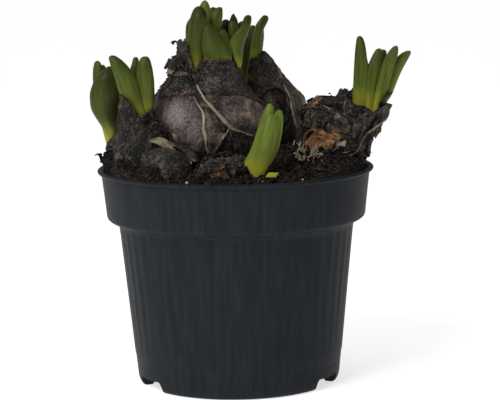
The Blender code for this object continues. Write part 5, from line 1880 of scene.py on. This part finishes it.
@dataclass
class CutLeaf:
    """The stub of a yellow leaf that was cut off beside the front tuft. Corners are in millimetres."""

    corners: tuple[Triple, ...] = (
        (12.2, -43.6, 94.9), (16.9, -44.2, 94.9), (14.6, -41.0, 96.6), (18.3, -41.2, 96.4),
    )
    thickness: float = 1.2

    def build(self, finish: Material) -> None:
        """Models the stub and hands it over."""
        low_left, low_right, high_left, high_right = (Vector(c) for c in self.corners)

        def rule(across: float, along: float) -> Marked:
            """A point of the stub, which is a little arched."""
            point = low_left.lerp(low_right, across).lerp(high_left.lerp(high_right, across), along)
            point.z += 0.8 * math.sin(math.pi * along) * (1 - 0.3 * across)
            return point, (0.0, abs(2 * along - 1), -0.15, 0.0)

        stub = add_grid("cut_leaf", 10, 8, rule, LEAF_MARKS, (6.0, 3.0))
        apply_modifier(stub, "SOLIDIFY", thickness=self.thickness * MM, offset=-1.0)
        face_outwards(stub)
        apply_modifier(stub, "SUBSURF", levels=1, render_levels=1)
        hand_over(stub, Slot.LEAF, finish)


# The flower spike and the small roots


@dataclass
class FlowerSpike:
    """The tight spike of purple florets, deep between the middle bulb's leaves."""

    foot: Triple = (-6.6, 8.4, 139.4)
    top: Triple = (-5.8, 7.6, 154.6)
    radius: float = 2.5
    florets: int = 46
    spiral: float = 137.5

    def build(self, finish: Material) -> None:
        """Models one floret, copies it up the spike in a spiral, and hands all of it over."""
        foot, top = Vector(self.foot), Vector(self.top)

        def teardrop(angle: float, share: float) -> Marked:
            """A closed bud a millimetre and a half wide."""
            turn = math.radians(angle)
            radius = 0.8 * math.sin(math.pi * share) ** 0.8 * (1.1 - 0.4 * share)
            return Vector((radius * math.cos(turn), radius * math.sin(turn), (share - 0.3) * 2.8)), ()

        model = add_ball("flower_spike", 8, 7, teardrop)
        origin = in_frame(Vector((0, 0, 0)))

        def place(number: int, co: Vector) -> Vector:
            """A point of one floret."""
            share = (number + 0.5) / self.florets
            turn = math.radians(self.spiral * number)
            outward = Vector((math.cos(turn), math.sin(turn), 0))
            middle = foot.lerp(top, share) + outward * self.radius * math.sqrt(max(0.0, 1 - share**3)) * 0.8
            tilt = (outward * (1 - share) + Vector((0, 0, 0.5 + share))).normalized()
            facing = Vector((0, 0, 1)).rotation_difference(tilt)
            return in_frame(middle + facing @ ((co - origin) / MM))

        repeat(model, self.florets, place)
        hand_over(model, Slot.BUD, finish, ["flower_bud"])


@dataclass
class SmallRoots:
    """The pale rootlets at the foot of the right bulb, and the dark sprig over the lip on the left."""

    tangle: tuple[Triple, ...] = (
        (29.2, -17, 100.2), (30.6, -18, 99.2), (32.4, -17, 100.2), (33.8, -18, 98.6), (34.6, -17, 99.8),
        (28.0, -14, 101.6), (28.2, -19, 99.0), (33.2, -16, 101.2), (27.0, -17, 99.4),
    )
    rootlets: int = 56
    in_tangle: int = 46
    seed: int = 5

    def build(self, pale: Material, dark: Material) -> None:
        """Models the roots and hands them over."""
        draw = random.Random(self.seed)
        pieces = []
        for number in range(self.rootlets):
            loose = number >= self.in_tangle
            middle = Vector(self.tangle[number % len(self.tangle)])
            point = middle + Vector([draw.uniform(-1.1, 1.1) for _ in range(3)])
            lowest = -0.3 if loose else 0.1
            heading = Vector((draw.uniform(-1, 1), draw.uniform(-0.9, 0.2), draw.uniform(lowest, 1.0)))
            heading.normalize()
            if loose:
                point = Vector((draw.uniform(31, 41), draw.uniform(-24, -18), draw.uniform(96.6, 97.8)))
                heading = Vector((draw.uniform(-1, 1), -0.3, 0.3)).normalized()
            points = [point]
            for _ in range(4):
                heading = (heading + Vector([draw.uniform(-0.8, 0.8) for _ in range(3)])).normalized()
                points.append(points[-1] + heading * draw.uniform(0.7, 1.4))
            radii = [0.14, 0.16, 0.08] if loose else [draw.uniform(0.28, 0.6), 0.36, 0.16]
            pieces.append(Thread(f"rootlet_{number}", points, radii, 8, 16, knobbly=0.2).add())
        for foot, top, radius in (
            (Vector((25.0, -8, 103.6)), Vector((25.7, -8, 106.2)), 0.34),
            (Vector((27.5, -10, 102.4)), Vector((28.0, -10, 105.8)), 0.42),
        ):
            line = [foot, foot.lerp(top, 0.5) + Vector((0.2, 0, 0)), top]
            pieces.append(Thread("upright_rootlet", line, [radius, radius, 0.1], 8, 12).add())
        hand_over(join(pieces, "pale_rootlets"), Slot.TUNIC, pale)
        sprig = [
            [(-56.0, -8, 99.0), (-58.4, -9, 100.8), (-59.1, -10, 101.6), (-60.5, -10.6, 101.0)],
            [(-57.3, -10, 100.9), (-57.8, -10.4, 101.6), (-58.6, -10.8, 101.9)],
            [(-58.4, -9.4, 100.8), (-57.7, -10, 98.9), (-58.0, -10.4, 98.3), (-57.2, -10.4, 97.8)],
            [(-56.6, -8.6, 100.3), (-56.1, -9, 99.7), (-57.2, -9.6, 99.0)],
        ]
        twigs = [
            Thread(f"twig_{i}", [Vector(p) for p in line], [0.34, 0.42, 0.2], 7, 16, knobbly=0.6).add()
            for i, line in enumerate(sprig)
        ]
        hand_over(join(twigs, "peat_sprig"), Slot.PEAT, dark)


# The studio


@dataclass
class Studio:
    """A white floor, soft light from all round, and the camera. The camera's numbers are in millimetres."""

    camera_place: Triple = (0.345, -897.13, 213.55)
    camera_turn: Triple = (81.468, 0.951, -0.509)
    lens: float = 149.64

    def add_floor(self) -> None:
        """A wide matt white floor at the pot's foot."""
        deselect()
        bpy.ops.mesh.primitive_plane_add(size=16.0, location=(0, 0, 0))
        floor = bpy.context.active_object
        floor.name = "floor"
        paper = LitPaper(
            "matt white studio paper", 0.9, gloss=0.1, low="#f6f6f6", high="#fafafa", patch=40.0, relief=0.0
        )
        floor.data.materials.append(paper.material())

    def add_sky(self) -> None:
        """White light, most of it from behind and from the left."""
        world = bpy.data.worlds.new("studio")
        bpy.context.scene.world = world
        world.use_nodes = True
        world.node_tree.nodes.clear()
        node = partial(add_node, world.node_tree)
        way = node("TexCoord", output="Generated")
        back = node("SeparateXYZ", output="Y", Vector=way)
        right = node("SeparateXYZ", output="X", Vector=way)
        depth = node("MapRange", Value=back, From_Min=-0.9, From_Max=0.7, To_Min=0.24, To_Max=0.72)
        across = node("MapRange", Value=right, From_Min=-0.9, From_Max=0.9, To_Min=1.0, To_Max=0.32)
        power = node("Math", TIMES, n0=depth, n1=across)
        soft = node("Background", Color=(1, 1, 1, 1), Strength=power)
        white = node("Background", Color=(1, 1, 1, 1), Strength=1.05)
        seen = node("LightPath", output="Is Camera Ray")
        both = node("MixShader", n0=seen, n1=soft, n2=white)
        node("OutputWorld", Surface=both)

    def add_softbox(self, name: str, place: Vector, size: float, power: float) -> None:
        """A square soft light that looks at the middle of the plant."""
        light = bpy.data.lights.new(name, "AREA")
        light.size = size
        light.energy = power
        lamp = bpy.data.objects.new(name, light)
        bpy.context.scene.collection.objects.link(lamp)
        lamp.location = place
        lamp.rotation_euler = (in_frame(Vector((0, 0, 90))) - place).to_track_quat("-Z", "Y").to_euler()

    def add_camera(self) -> None:
        """The camera at the photograph's viewing angle."""
        data = bpy.data.cameras.new("camera")
        data.lens = self.lens
        data.sensor_width = 36.0
        data.clip_end = 20.0
        camera = bpy.data.objects.new("camera", data)
        bpy.context.scene.collection.objects.link(camera)
        camera.location = in_frame(Vector(self.camera_place))
        camera.rotation_euler = [math.radians(turn) for turn in self.camera_turn]
        bpy.context.scene.camera = camera

    def build(self) -> None:
        """Sets up the whole studio."""
        self.add_floor()
        self.add_sky()
        self.add_softbox("key light", Vector((-0.45, -0.6, 0.75)), size=0.45, power=4.5)
        self.add_camera()
        bpy.context.scene.view_settings.view_transform = "Standard"
        log.info("studio: floor, sky, key light and camera")


def main() -> None:
    """Builds every piece in order, and then the studio."""
    logging.basicConfig(level=logging.INFO, format="%(name)s %(message)s")
    tunic = DryTunic("dry papery hyacinth tunic", 0.62, gloss=0.15).material()
    leaf = FleshyLeaf("fleshy hyacinth leaf", 0.38, gloss=0.15).material()
    peat = Peat("damp milled peat", 0.9, gloss=0.15).material()
    # Bark is brown and dull, a fresh rootlet pale and a little waxy, perlite chalky, and a floret in
    # bud dark with a dull bloom.
    bark, root, perlite, bud = (
        Mottled(name, roughness, gloss=gloss, low=low, high=high, patch=patch).material()
        for name, roughness, gloss, low, high, patch in (
            ("bark and fibre in the peat", 0.8, 0.2, "#2a1f16", "#6f5b45", 2.0),
            ("fresh hyacinth rootlet", 0.55, 0.3, "#7c7058", "#c8bb9f", 2.0),
            ("expanded perlite", 0.7, 0.3, "#a8a49c", "#e8e6e0", 0.5),
            ("purple hyacinth floret", 0.5, 0.3, "#17100f", "#3a2426", 0.8),
        )
    )

    NurseryPot().build(MouldedPolypropylene("moulded polypropylene", 0.5, gloss=0.05).material())
    PeatFill().build(peat, bark, perlite)
    for bulb in (CENTRE_BULB, BACK_BULB, LEFT_BULB, RIGHT_BULB, FRONT_BULB):
        bulb.build(tunic)
    for tuft in (
        CENTRE_LEAVES, BACK_LEAVES, FOLDED_LEAF, LEFT_OUTER_LEAVES, LEFT_INNER_LEAVES, RIGHT_LEAVES,
        FRONT_LEAVES,
    ):
        tuft.build(leaf)
    CutLeaf().build(leaf)
    FlowerSpike().build(bud)
    SmallRoots().build(root, peat)
    Studio().build()


if __name__ == "__main__":
    main()
